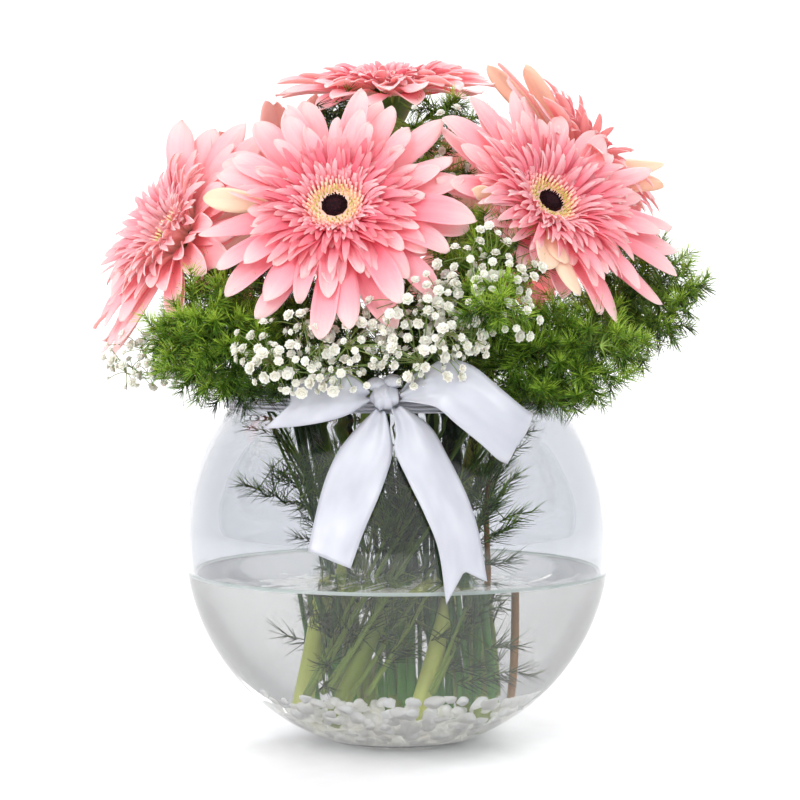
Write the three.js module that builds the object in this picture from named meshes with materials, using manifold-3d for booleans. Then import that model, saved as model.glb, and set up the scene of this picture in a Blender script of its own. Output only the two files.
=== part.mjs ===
// Seven pink gerberas with fern and baby's breath in a round glass bowl, with a satin ribbon bow at its neck.
// Millimetres, +Z up. The origin is the middle of the bowl's flat underside, and the bow is at the front, -Y.
import * as THREE from "three";
import { mergeVertices } from "three/addons/utils/BufferGeometryUtils.js";
import Module from "manifold-3d";

const wasm = await Module();
wasm.setup();

// ---- Driving dimensions ----
// Heights are drawn from a plane just above the table, and at the end all is lifted to stand on the foot.
const bowl = {
  radius: 100, // outside of the sphere
  centreHeight: 89.3,
  wall: 3,
  footRadius: 28, // of the flat underside
  floorThickness: 5, // of the glass under the pebbles
  neckRadius: 77,
  neckHeight: 154,
  lipRadius: 80,
  rimHeight: 162,
  sides: 24,
  arcSteps: 6,
};
bowl.footHeight = bowl.centreHeight - Math.sqrt(bowl.radius ** 2 - bowl.footRadius ** 2);
bowl.floor = bowl.footHeight + bowl.floorThickness;
const seatGap = 0.3; // clearance between pieces that rest on each other
const clearance = 0.35; // least distance between neighbours in the bouquet
const waterLevel = 74;
const pebbles = { count: 21, size: 7.8, spread: 52, bedTop: 18.5, heapTop: 28 };
const gerbera = {
  radius: 62, // to the tips of the longest petals
  hubRadius: 17,
  hubDepth: 6.2,
  hubTop: -0.4, // below the bloom's middle, where the crown stands
  crownRadius: 14.5,
  crownHeight: 5.5,
  crownSides: 12,
  dimpleHeight: 1,
  eyeRadius: 6.6,
  calyxRadius: 13,
  calyxDepth: 17,
  stemRadius: 3.4,
  stemSides: 6,
  stemSteps: 7,
};
const ribbonThickness = 0.8;
const fern = { needle: 13, core: 2.2, stemRadius: 1.1, twigRadius: 1, twigLength: 8, tufts: 6 };
const gyp = { blossom: 2.7, stemRadius: 0.8, twigRadius: 0.6, blossoms: 9 };

// Petal rings from the outside in. Reach is a petal's length from the axis against the bloom's radius.
// Rise is its lift at the root and droop its fall at the tip, in degrees.
// The root's height is from the bloom's middle.
const petalRings = [
  { count: 13, reach: 1, width: 14, thickness: 1.8, rise: 10, droop: 20, rootHeight: -4, steps: 3 },
  { count: 11, reach: 0.8, width: 12, thickness: 1.8, rise: 24, droop: 4, rootHeight: -1.9, steps: 2 },
  { count: 10, reach: 0.55, width: 6, thickness: 1.9, rise: 42, droop: -30, rootHeight: 0.2, steps: 1 },
];
const petalRootRadius = 15.5;

// Each bloom: its middle, the way it faces, its size against the largest and the turn of its petals.
const blooms = [
  { name: "bloom_front", at: [-27, -75, 240], facing: [-0.08, -0.84, 0.54], size: 1, turn: 4 },
  { name: "bloom_right", at: [67, -55, 243], facing: [0.45, -0.7, 0.55], size: 1, turn: 10 },
  { name: "bloom_left", at: [-102, -24, 231], facing: [-0.75, -0.45, 0.48], size: 1, turn: 0 },
  { name: "bloom_top", at: [-4, 18, 304], facing: [-0.04, -0.2, 0.98], size: 0.95, turn: 6 },
  { name: "bloom_right_rear", at: [88, 22, 270], facing: [0.72, -0.02, 0.69], size: 1, turn: 12 },
  { name: "bloom_rear_left", at: [-60, 62, 250], facing: [-0.55, 0.62, 0.56], size: 1, turn: 3 },
  { name: "bloom_rear_right", at: [38, 86, 238], facing: [0.32, 0.78, 0.54], size: 1, turn: 8 },
];
// Stems lean round the bowl the same way, so that they pass each other like the strands of a twisted sheaf.
const sheaf = { footRadius: 38, neckRadius: 42, twist: 95, footHeight: 16, thinFootHeight: 31 };

// Fern fronds: the side of the bowl they leave by, and the place of their tip.
const fronds = [
  { name: "fern_front_left", azimuth: 218, reach: 112, tipHeight: 183 },
  { name: "fern_front_right", azimuth: 293, reach: 100, tipHeight: 207 },
  { name: "fern_right_low", azimuth: 318, reach: 118, tipHeight: 180 },
  { name: "fern_right", azimuth: 346, reach: 140, tipHeight: 200 },
  { name: "fern_right_rear", azimuth: 20, reach: 126, tipHeight: 190 },
  { name: "fern_rear", azimuth: 70, reach: 122, tipHeight: 180 },
  { name: "fern_rear_left", azimuth: 120, reach: 118, tipHeight: 184 },
  { name: "fern_left", azimuth: 170, reach: 114, tipHeight: 178 },
  { name: "fern_top", azimuth: 300, reach: 16, tipHeight: 280 },
];

// Baby's breath: the side of the bowl each spray leaves by, and its cloud of blossoms' middle and radius.
const sprays = [
  { name: "gyp_front_left", azimuth: 236, cloud: [-38, -88, 184], spread: 27 },
  { name: "gyp_front", azimuth: 268, cloud: [2, -91, 188], spread: 27 },
  { name: "gyp_front_right", azimuth: 305, cloud: [46, -88, 196], spread: 27 },
  { name: "gyp_left", azimuth: 190, cloud: [-104, -36, 178], spread: 26 },
  { name: "gyp_rear", azimuth: 95, cloud: [-8, 100, 190], spread: 28 },
  { name: "gyp_top", azimuth: 285, cloud: [14, -30, 270], spread: 24 },
];

const finish = (color, roughness, more = {}) => new THREE.MeshStandardMaterial({ color, roughness, ...more });
const seeThrough = { transparent: true, opacity: 0.35 };
const finishes = {
  glass: finish(0xd9e0dd, 0.05, seeThrough),
  water: finish(0xd3dfd8, 0.05, seeThrough),
  pebble: finish(0xe6e2dc, 0.6),
  petal: finish(0xf6a5ab, 0.55),
  crown: finish(0xe6c993, 0.7),
  eye: finish(0x2a1016, 0.8),
  stem: finish(0x9aae48, 0.5),
  fern: finish(0x4f7d1e, 0.6),
  gyp: finish(0xeceade, 0.7),
  ribbon: finish(0xe6e5ef, 0.3),
};

// ---- Small helpers ----
const radians = THREE.MathUtils.degToRad;
const up = new THREE.Vector3(0, 0, 1);
const vector = (p) => new THREE.Vector3(...p);
const azimuthOf = (point) => THREE.MathUtils.radToDeg(Math.atan2(point.y, point.x));
const around = (azimuth, radius, height) =>
  new THREE.Vector3(radius * Math.cos(radians(azimuth)), radius * Math.sin(radians(azimuth)), height);

function seededRandom(seed) {
  let state = seed;
  return () => {
    state = (state * 1664525 + 1013904223) % 4294967296;
    return state / 4294967296;
  };
}

// A closed geometry as a manifold solid, with its shared vertices merged.
function solidOf(geometry) {
  const bare = new THREE.BufferGeometry();
  const source = geometry.index ? geometry.toNonIndexed() : geometry;
  bare.setAttribute("position", source.getAttribute("position"));
  const merged = mergeVertices(bare, 1e-4);
  const solid = new wasm.Manifold(
    new wasm.Mesh({
      numProp: 3,
      vertProperties: new Float32Array(merged.attributes.position.array),
      triVerts: new Uint32Array(merged.index.array),
    }),
  );
  return solid;
}

function geometryOf(solid) {
  const mesh = solid.getMesh();
  const geometry = new THREE.BufferGeometry();
  const points = new Float32Array(mesh.numVert * 3);
  for (let i = 0; i < mesh.numVert; i++) {
    points.set(mesh.vertProperties.subarray(i * mesh.numProp, i * mesh.numProp + 3), i * 3);
  }
  geometry.setAttribute("position", new THREE.BufferAttribute(points, 3));
  geometry.setIndex(new THREE.BufferAttribute(new Uint32Array(mesh.triVerts), 1));
  geometry.computeVertexNormals();
  return geometry;
}

// The largest connected body of a solid: a scrap that a cut left loose is dropped.
function largestBody(solid) {
  return solid.decompose().reduce((best, body) => (body.volume() > best.volume() ? body : best));
}

// Every vertex of a geometry moved by a rule.
function reshaped(geometry, rule) {
  const position = geometry.getAttribute("position");
  const point = new THREE.Vector3();
  for (let i = 0; i < position.count; i++) {
    point.fromBufferAttribute(position, i);
    rule(point);
    position.setXYZ(i, point.x, point.y, point.z);
  }
  return geometry;
}

const placed = []; // every solid already in the bouquet, in the part's own frame, with the node it belongs to
const group = new THREE.Group();

function boxesApart(a, b, gap) {
  const [p, q] = [a.boundingBox(), b.boundingBox()];
  return [0, 1, 2].some((k) => p.min[k] > q.max[k] + gap || q.min[k] > p.max[k] + gap);
}

// Whether a solid of a node keeps its distance from every other node's solids.
function isClear(solid, owner, gap = clearance) {
  const tooNear = (other) => !boxesApart(solid, other, gap) && solid.minGap(other, gap) < gap * 0.999;
  return !placed.some((other) => other.owner !== owner && tooNear(other.solid));
}

// Adds a solid that is already in the part's frame.
function addNode(name, solid, material) {
  const body = largestBody(solid);
  placed.push({ owner: name, solid: body });
  const mesh = new THREE.Mesh(geometryOf(body), material);
  mesh.name = name;
  group.add(mesh);
}

// ---- Bowl, water and pebbles ----
// Points on a circle about the bowl's centre, from a lower to an upper height, as a lathe profile.
function sphereArc(radius, fromHeight, toHeight, steps) {
  const angleAt = (height) => Math.asin((height - bowl.centreHeight) / radius);
  const [from, to] = [angleAt(fromHeight), angleAt(toHeight)];
  return Array.from({ length: steps + 1 }, (_, i) => {
    const angle = from + ((to - from) * i) / steps;
    return new THREE.Vector2(radius * Math.cos(angle), bowl.centreHeight + radius * Math.sin(angle));
  });
}

// A lathe about Z from a profile of (radius, height) points.
function lathe(profile, sides) {
  return new THREE.LatheGeometry(profile, sides).rotateX(Math.PI / 2);
}

const shoulder = 150; // where the sphere turns up into the neck
function bowlSolid() {
  const inner = bowl.radius - bowl.wall;
  const neckInside = bowl.neckRadius - bowl.wall;
  const profile = [
    new THREE.Vector2(0, bowl.footHeight),
    new THREE.Vector2(bowl.footRadius, bowl.footHeight),
    ...sphereArc(bowl.radius, bowl.footHeight + 1.2, shoulder, bowl.arcSteps),
    new THREE.Vector2(bowl.neckRadius, bowl.neckHeight),
    new THREE.Vector2(bowl.lipRadius - 1, bowl.rimHeight - 2.5),
    new THREE.Vector2(bowl.lipRadius, bowl.rimHeight - 1),
    new THREE.Vector2(bowl.lipRadius - 1.5, bowl.rimHeight),
    new THREE.Vector2(neckInside, bowl.neckHeight + 1),
    ...sphereArc(inner, bowl.floor, shoulder, bowl.arcSteps).reverse(),
    new THREE.Vector2(0, bowl.floor),
  ];
  return solidOf(lathe(profile, bowl.sides));
}

// What fills the bowl between two heights, a seat's gap inside the glass.
function filling(fromHeight, toHeight) {
  const wall = sphereArc(bowl.radius - bowl.wall, bowl.floor, shoulder, bowl.arcSteps);
  const radiusAt = (height) => {
    const next = wall.findIndex((p) => p.y > height);
    const [below, above] = [wall[next - 1], wall[next]];
    return THREE.MathUtils.mapLinear(height, below.y, above.y, below.x, above.x) - 2 * seatGap;
  };
  const between = wall.map((p) => p.y).filter((height) => height > fromHeight && height < toHeight);
  const heights = [fromHeight, ...between, toHeight];
  const side = heights.map((height) => new THREE.Vector2(radiusAt(height), height));
  const profile = [new THREE.Vector2(0, fromHeight), ...side, new THREE.Vector2(0, toHeight)];
  return solidOf(lathe(profile, bowl.sides));
}

// White stone chips heaped on the bowl's floor, standing out of a low bed.
function pebbleBed(holes) {
  const random = seededRandom(11);
  const goldenAngle = 137.508;
  const chips = [filling(bowl.floor + seatGap, pebbles.bedTop)];
  for (let i = 0; i < pebbles.count; i++) {
    const share = Math.sqrt((i + 0.5) / pebbles.count);
    const size = pebbles.size * (0.85 + 0.3 * random());
    const height = pebbles.heapTop - size * (1 + 0.5 * random());
    const spot = around(i * goldenAngle, share * pebbles.spread, height);
    const chip = new THREE.IcosahedronGeometry(size, 0);
    chip.scale(1, 0.75 + 0.25 * random(), 0.75 + 0.2 * random());
    chip.rotateZ(6 * random());
    chips.push(solidOf(chip.translate(spot.x, spot.y, spot.z)));
  }
  return wasm.Manifold.union(chips).subtract(wasm.Manifold.union(holes));
}

// ---- Stems ----
const roundShape = (radius, sides) =>
  new THREE.Shape(
    Array.from({ length: sides }, (_, i) => {
      const angle = (2 * Math.PI * i) / sides;
      return new THREE.Vector2(radius * Math.cos(angle), radius * Math.sin(angle));
    }),
  );

function tube(curve, radius, sides, steps) {
  const options = { steps, extrudePath: curve, bevelEnabled: false, curveSegments: 1 };
  return solidOf(new THREE.ExtrudeGeometry(roundShape(radius, sides), options));
}

// From a foot among the pebbles, up the leaning sheaf, through the neck and on to the last points given.
function stemCurve(azimuth, footRadius, neckRadius, lastPoints, footHeight = sheaf.footHeight) {
  const foot = around(azimuth - sheaf.twist, footRadius, footHeight);
  const neck = around(azimuth, neckRadius, bowl.neckHeight);
  const middle = foot.clone().lerp(neck, 0.5);
  return new THREE.CatmullRomCurve3([foot, middle, neck, ...lastPoints], false, "centripetal");
}

const stemHoles = []; // what each stem needs clear in the water and the pebbles
function addStemHole(curve, radius, sides, steps) {
  const holeRadius = radius + seatGap / Math.cos(Math.PI / sides) + 0.05;
  const [foot, above] = [curve.getPointAt(0), curve.getPointAt(0.02)];
  const lower = foot.clone().addScaledVector(above.clone().sub(foot).normalize(), -0.5);
  stemHoles.push(tube(curve, holeRadius, sides, steps));
  stemHoles.push(tube(new THREE.LineCurve3(lower, above), holeRadius * 1.15, sides, 1));
}

// ---- Gerberas ----
// A petal: a three-sided cone flattened to a blade with a flat top and a keel beneath.
// It is laid along an arc that starts at rise and ends at -droop degrees.
function petalSolid({ length, width, rise, droop, steps, thickness }) {
  const start = radians(rise);
  const bend = radians(rise + droop) || 1e-3;
  const widthAt = (along) => Math.min(0.42 + 1.4 * along, 1);
  const cone = new THREE.ConeGeometry(1, 1, 3, steps);
  return solidOf(
    reshaped(cone, (p) => {
      const along = p.y + 0.5;
      const taper = Math.max(1 - along, 1e-6);
      const isTip = along > 0.999;
      const across = isTip ? 0 : (p.x / taper / Math.sin(Math.PI / 3)) * 0.5 * width * widthAt(along);
      const over = isTip ? 0 : ((p.z / taper + 0.5) / 1.5) * thickness;
      const reached = Math.min(along * (steps > 2 ? 1.22 : 1.3), 1) * (isTip ? 1 : 0.94);
      const angle = start - bend * reached;
      const x = (length * (Math.sin(start) - Math.sin(angle))) / bend;
      const z = (length * (Math.cos(angle) - Math.cos(start))) / bend;
      p.set(x + Math.sin(angle) * over, across, z - Math.cos(angle) * over);
    }),
  );
}

// The ring of tubular florets, with a dimple for the eye. Every other line of its vertices stands higher.
function crownSolid() {
  const { crownRadius, crownHeight, crownSides, eyeRadius } = gerbera;
  const ring = lathe(
    [
      new THREE.Vector2(0, seatGap),
      new THREE.Vector2(crownRadius, seatGap),
      new THREE.Vector2(crownRadius - 2, crownHeight * 0.9),
      new THREE.Vector2(eyeRadius + 1, crownHeight * 0.7),
      new THREE.Vector2(eyeRadius + seatGap, gerbera.dimpleHeight),
      new THREE.Vector2(0, gerbera.dimpleHeight),
    ],
    crownSides,
  );
  return solidOf(
    reshaped(ring, (p) => {
      const line = Math.round((Math.atan2(p.y, p.x) / (2 * Math.PI)) * crownSides);
      if (p.z > 2 && line % 2) {
        p.z += 1.6;
      }
    }),
  );
}

function eyeSolid() {
  const { eyeRadius, crownHeight, dimpleHeight } = gerbera;
  const dome = lathe(
    [
      new THREE.Vector2(0, dimpleHeight + seatGap),
      new THREE.Vector2(eyeRadius - 0.4, dimpleHeight + seatGap),
      new THREE.Vector2(eyeRadius - 0.2, crownHeight * 0.5),
      new THREE.Vector2(eyeRadius * 0.5, crownHeight * 0.75),
      new THREE.Vector2(0, crownHeight * 0.6),
    ],
    8,
  );
  return solidOf(dome);
}

// The flat disc that the petals grow from: one side for each petal of the outer ring.
function hubSolid(turn) {
  const sides = petalRings[0].count;
  const thickness = gerbera.hubDepth + gerbera.hubTop;
  const disc = new THREE.CylinderGeometry(gerbera.hubRadius, gerbera.hubRadius, thickness, sides);
  disc.rotateX(Math.PI / 2).translate(0, 0, (gerbera.hubTop - gerbera.hubDepth) / 2);
  return solidOf(disc.rotateZ(Math.PI / 2 + Math.PI / sides + radians(turn)));
}

function bloomMatrix(bloom) {
  const turn = new THREE.Quaternion().setFromUnitVectors(up, vector(bloom.facing).normalize());
  return new THREE.Matrix4().compose(vector(bloom.at), turn, new THREE.Vector3(1, 1, 1));
}

function stemAndCalyx(bloom) {
  const matrix = bloomMatrix(bloom);
  const below = (depth) => new THREE.Vector3(0, 0, -depth).applyMatrix4(matrix);
  const isMiddle = bloom.name === "bloom_top";
  const azimuth = isMiddle ? 0 : azimuthOf(vector(bloom.at));
  const inward = isMiddle ? 0.12 : 1; // the top bloom's stem stands in the middle of the sheaf
  const depth = gerbera.hubDepth + gerbera.calyxDepth;
  const curve = stemCurve(azimuth, sheaf.footRadius * inward, sheaf.neckRadius * inward, [
    below(depth + 26),
    below(depth - 4),
  ]);
  addStemHole(curve, gerbera.stemRadius, gerbera.stemSides, gerbera.stemSteps);
  const calyx = lathe(
    [
      new THREE.Vector2(0, -depth),
      new THREE.Vector2(gerbera.stemRadius, -depth),
      new THREE.Vector2(gerbera.calyxRadius * 0.8, -depth * 0.5),
      new THREE.Vector2(gerbera.calyxRadius, -gerbera.hubDepth - 2),
      new THREE.Vector2(gerbera.calyxRadius * 0.9, -gerbera.hubDepth - seatGap),
      new THREE.Vector2(0, -gerbera.hubDepth - seatGap),
    ],
    8,
  );
  calyx.applyMatrix4(matrix);
  return tube(curve, gerbera.stemRadius, gerbera.stemSides, gerbera.stemSteps).add(solidOf(calyx));
}

// The petals of one bloom, each bent clear of what is already there.
function petalsOf(bloom, matrix) {
  const random = seededRandom(100 + blooms.indexOf(bloom));
  const bends = [0, 7, -7, 14, -14, 22, -22, 32, -30, 44];
  const petals = [hubSolid(bloom.turn)];
  petalRings.forEach((ring, level) => {
    const stagger = (level % 2) / 2;
    for (let i = 0; i < ring.count; i++) {
      const azimuth = bloom.turn + (360 * (i + stagger)) / ring.count + (random() - 0.5) * 7;
      const reach = gerbera.radius * bloom.size * ring.reach * (0.93 + 0.07 * random());
      const sway = (random() - 0.5) * 8;
      const attempts = [1, 0.86, 0.72].flatMap((share) => bends.map((bend) => [share, bend]));
      for (const [share, bend] of attempts) {
        const petal = petalSolid({
          length: reach * share - petalRootRadius,
          width: ring.width,
          rise: ring.rise + sway + bend,
          droop: ring.droop - sway - bend * 0.4,
          steps: ring.steps,
          thickness: ring.thickness,
        });
        const inPlace = petal.translate([petalRootRadius, 0, ring.rootHeight]).rotate([0, 0, azimuth]);
        if (isClear(inPlace.transform(matrix.elements), bloom.name + "_petals")) {
          petals.push(inPlace);
          break;
        }
      }
    }
  });
  return largestBody(wasm.Manifold.union(petals));
}

function addBloomPart(bloomGroup, matrix, name, solid, material) {
  placed.push({ owner: name, solid: solid.transform(matrix.elements) });
  const mesh = new THREE.Mesh(geometryOf(solid), material);
  mesh.name = name;
  bloomGroup.add(mesh);
}

// ---- Ribbon ----
// A strip of ribbon through pairs of edge points, closed at both ends.
function ribbonStrip(edges) {
  const half = ribbonThickness / 2;
  const stations = edges.map(([a, b]) => [vector(a), vector(b)]);
  const rings = stations.map(([a, b], i) => {
    const before = stations[Math.max(i - 1, 0)];
    const after = stations[Math.min(i + 1, stations.length - 1)];
    const middle = (pair) => pair[0].clone().add(pair[1]).multiplyScalar(0.5);
    const along = middle(after).sub(middle(before));
    const normal = along.cross(b.clone().sub(a)).normalize().multiplyScalar(half);
    return [a.clone().add(normal), b.clone().add(normal), b.clone().sub(normal), a.clone().sub(normal)];
  });
  // A box of one segment a station, with its vertices moved to the rings.
  const corner = { "1,1": 0, "-1,1": 1, "-1,-1": 2, "1,-1": 3 };
  const box = new THREE.BoxGeometry(2, 2, rings.length - 1, 1, 1, rings.length - 1);
  reshaped(box, (p) => {
    const station = Math.round(p.z + (rings.length - 1) / 2);
    p.copy(rings[station][corner[Math.round(p.x) + "," + Math.round(p.y)]]);
  });
  const strip = solidOf(box);
  if (strip.volume() > 0) {
    return strip;
  }
  const index = box.getIndex();
  for (let i = 0; i < index.count; i += 3) {
    const [b, c] = [index.getX(i + 1), index.getX(i + 2)];
    index.setX(i + 1, c);
    index.setX(i + 2, b);
  }
  return solidOf(box);
}

// How far the front of the bowl stands out at a place across and up.
function bowlFront(x, z, off) {
  const height = Math.max(z, bowl.centreHeight) - bowl.centreHeight;
  return -Math.sqrt(Math.max((bowl.radius + off) ** 2 - height ** 2 - x ** 2, 0));
}

// A tail that hangs from the knot down the front of the bowl, through edge points given across and up.
function hangingTail(leftEdge, rightEdge, off) {
  const onBowl = ([x, z], i) => [x, bowlFront(x, z, off + 4 * 0.45 ** i), z];
  return ribbonStrip(leftEdge.map((left, i) => [onBowl(left, i), onBowl(rightEdge[i], i)]));
}

// The swallow-tail notch cut into a ribbon's end: a thin three-sided prism through it.
function notch(points, depthFrom, depthTo) {
  const shape = new THREE.Shape(points.map(([x, z]) => new THREE.Vector2(x, z)));
  const prism = new THREE.ExtrudeGeometry(shape, { depth: depthTo - depthFrom, bevelEnabled: false });
  return solidOf(prism.rotateX(Math.PI / 2).translate(0, depthTo, 0));
}

const knot = { at: [-5.5, -84.2, 158], radii: [6.6, 4.6, 5.6] };
function addRibbon() {
  const bandRadius = bowl.neckRadius / Math.cos(Math.PI / bowl.sides) + 0.1;
  const band = lathe(
    [
      new THREE.Vector2(bandRadius + 2.6, shoulder + 0.4),
      new THREE.Vector2(bandRadius + 3.4, shoulder + 0.4),
      new THREE.Vector2(bandRadius + 2, bowl.rimHeight - 4),
      new THREE.Vector2(bandRadius + 1.1, bowl.rimHeight - 4),
      new THREE.Vector2(bandRadius + 2.6, shoulder + 0.4),
    ],
    bowl.sides,
  );
  addNode("ribbon_band", solidOf(band), finishes.ribbon);

  const ball = new THREE.SphereGeometry(1, 10, 7).rotateX(Math.PI / 2);
  ball.scale(...knot.radii).translate(...knot.at);
  addNode("ribbon_knot", solidOf(ball), finishes.ribbon);

  const tailLeft = hangingTail(
    [[-9.5, 152.75], [-19, 143], [-25.5, 134.4], [-30.9, 122.4], [-35.4, 105.5], [-38.1, 92.5]],
    [[-5, 151.55], [-3, 143.5], [-1.9, 135], [-6.6, 119.3], [-14.1, 101.6], [-19.8, 85.6]],
    1.6,
  );
  addNode("ribbon_tail_left", tailLeft, finishes.ribbon);

  const tailRight = hangingTail(
    [[-2.6, 153], [-0.6, 143.5], [-1.2, 136], [4.2, 123.7], [11.7, 108.6], [17.2, 94.8], [20.9, 70.4]],
    [[3, 154.2], [14.5, 145.5], [21, 134.4], [30, 116], [34.6, 101.6], [36.6, 91], [37.3, 70.4]],
    3.2,
  ).subtract(notch([[20.9, 68], [38.5, 68], [40, 81.1], [28.2, 85.3], [20.9, 70.4]], -110, -80));
  addNode("ribbon_tail_right", tailRight, finishes.ribbon);

  const endLeft = ribbonStrip([
    [[-12.5, -84.4, 160.5], [-12.5, -84.8, 156]],
    [[-19, -87, 167], [-19, -91.5, 151.8]],
    [[-27, -86, 169], [-26.5, -93, 149]],
    [[-38, -84, 166.5], [-40, -91, 146.2]],
    [[-46, -82, 163], [-58, -84, 144.3]],
  ]).subtract(notch([[-47.5, 165], [-43, 156.3], [-58.3, 144], [-70, 144], [-70, 165]], -100, -70));
  addNode("ribbon_end_left", endLeft, finishes.ribbon);

  const loop = ribbonStrip([
    [[1.6, -85.8, 160.5], [1.6, -86.2, 156.5]],
    [[10, -89, 169], [10, -91, 155.5]],
    [[20, -90.5, 174.5], [17, -95, 153.8]],
    [[31, -90.5, 172.5], [25, -97, 147]],
    [[45, -90, 161.5], [36, -96, 138]],
    [[56, -86, 152.5], [44, -92, 131.6]],
    [[58.5, -81.5, 151], [46.5, -86.5, 130]],
    [[54, -79, 153], [43, -83, 132.5]],
    [[40, -81, 163], [31.5, -84.8, 142]],
    [[24, -83.5, 171], [20, -87, 152]],
    [[8, -83.8, 168.5], [8, -85.5, 158.5]],
    [[1.8, -83.2, 161], [1.8, -83.4, 157.5]],
  ]);
  addNode("ribbon_loop_right", loop, finishes.ribbon);
}

// ---- Fern ----
function needleSolid(from, direction, length, radius) {
  const needle = new THREE.ConeGeometry(radius, length, 3, 1);
  needle.translate(0, length / 2, 0);
  needle.applyQuaternion(new THREE.Quaternion().setFromUnitVectors(new THREE.Vector3(0, 1, 0), direction));
  return solidOf(needle.translate(from.x, from.y, from.z));
}

// The first way of a stem through the sheaf that is clear of all that is there.
function clearStem(plant, lastPoints, { radius, footRadius, neckRadius, steps }) {
  for (const offset of [0, 5, -5, 10, -10, 15, -15, 20, -20, 26, -26, 34, -34, 45, -45]) {
    for (const share of [1, 0.86, 1.1, 0.7, 0.55, 0.4]) {
      const azimuth = plant.azimuth + offset;
      const radii = [footRadius * share, neckRadius * share];
      const curve = stemCurve(azimuth, ...radii, lastPoints, sheaf.thinFootHeight);
      const stem = tube(curve, radius, 4, steps);
      if (isClear(stem, plant.name, 2 * clearance)) {
        addStemHole(curve, radius, 4, steps);
        placed.push({ owner: plant.name, solid: stem });
        return { curve, stem };
      }
    }
  }
  throw new Error(plant.name + " finds no clear way through the stems");
}

function frondStem(frond) {
  const out = Math.min(frond.reach, 88);
  const overRim = [
    around(frond.azimuth, Math.min(out, 82) * 0.86, bowl.rimHeight + 8),
    around(frond.azimuth, (out + frond.reach) / 2, (bowl.rimHeight + 14 + frond.tipHeight) / 2),
    around(frond.azimuth, frond.reach, frond.tipHeight),
  ];
  const upright = [around(frond.azimuth, 26, 205), overRim[2]];
  const lastPoints = frond.reach < 60 ? upright : overRim;
  return clearStem(frond, lastPoints, { radius: fern.stemRadius, footRadius: 36, neckRadius: 62, steps: 7 });
}

// A tuft of needles round a slim core: a polyhedron with a spike on each of its faces.
function tuftSolid(name, middle, spin, random, own) {
  const core = new THREE.OctahedronGeometry(1, 0).rotateX(spin).rotateY(2 * spin);
  const corner = (i) => new THREE.Vector3().fromBufferAttribute(core.getAttribute("position"), i);
  const vertices = [];
  const faces = [];
  const tips = [];
  for (let i = 0; i < core.getAttribute("position").count; i += 3) {
    const corners = [corner(i), corner(i + 1), corner(i + 2)];
    const outward = corners[0].clone().add(corners[1]).add(corners[2]).normalize();
    const first = vertices.length / 3;
    [...corners, outward].forEach((v) => vertices.push(...v.toArray()));
    faces.push(first, first + 1, first + 3, first + 1, first + 2, first + 3, first + 2, first, first + 3);
    const longest = fern.needle * (0.85 + 0.3 * random());
    const share = [1, 0.8, 0.6, 0.45, 0.3].find((share) => {
      const needle = needleSolid(middle, outward, longest * share, fern.core);
      return isClear(needle, name) && own.every((tuft) => tuft.minGap(needle, 1) > 0.5);
    });
    tips.push({ outward, length: share ? longest * share : fern.core });
  }
  const spiked = new THREE.PolyhedronGeometry(vertices, faces, fern.core, 0);
  reshaped(spiked, (p) => {
    const tip = tips.find((spike) => spike.outward.dot(p) > 0.999 * fern.core);
    p.multiplyScalar(tip ? tip.length / fern.core : 1).add(middle);
  });
  return solidOf(spiked);
}

// A tuft on a short twig beside the frond's stem, or nothing where there is no room for it.
function tuftOnTwig(name, from, distance, random, own) {
  for (let attempt = 0; attempt < 20; attempt++) {
    const side = new THREE.Vector3(random() - 0.5, random() - 0.5, (random() - 0.35) * 1.5).normalize();
    const middle = from.clone().addScaledVector(side, distance * (1 + random()));
    const twig = needleSolid(from, side, from.distanceTo(middle) + 1, fern.twigRadius);
    const room = new THREE.OctahedronGeometry(1.8 * fern.core).translate(middle.x, middle.y, middle.z);
    const core = solidOf(room);
    const apart = own.every((tuft) => tuft.minGap(core, 1) > 0.5 && tuft.minGap(twig, 1) > 0.5);
    if (apart && isClear(core, name) && isClear(twig, name)) {
      own.push(tuftSolid(name, middle, 6 * random(), random, own));
      return [twig];
    }
  }
  return [];
}

function frondSolid(frond, { curve, stem }, seed) {
  const random = seededRandom(seed);
  const parts = [stem];
  const tufts = [];
  for (let i = 0; i < fern.tufts; i++) {
    const share = i / (fern.tufts - 1);
    const from = curve.getPointAt(0.68 + 0.32 * share);
    parts.push(...tuftOnTwig(frond.name, from, share === 1 ? 0.5 : fern.twigLength, random, tufts));
  }
  return wasm.Manifold.union([...parts, ...tufts]);
}

// ---- Baby's breath ----
function blossomSolid(middle, size, random) {
  const ball = new THREE.OctahedronGeometry(size, 0);
  ball.rotateX(6 * random()).rotateY(6 * random());
  return solidOf(ball.translate(middle.x, middle.y, middle.z));
}

function sprayStem(spray) {
  const cloud = vector(spray.cloud);
  const flat = Math.hypot(cloud.x, cloud.y);
  const azimuth = azimuthOf(cloud);
  const tip = cloud.clone().lerp(around(azimuth, flat * 0.9, cloud.z - 8), 0.5);
  const overRim = around(azimuth, Math.min(flat * 0.85, 70), bowl.rimHeight + 6);
  const lastPoints = flat < 60 ? [tip] : [overRim, tip];
  return clearStem(spray, lastPoints, { radius: gyp.stemRadius, footRadius: 22, neckRadius: 54, steps: 6 });
}

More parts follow.
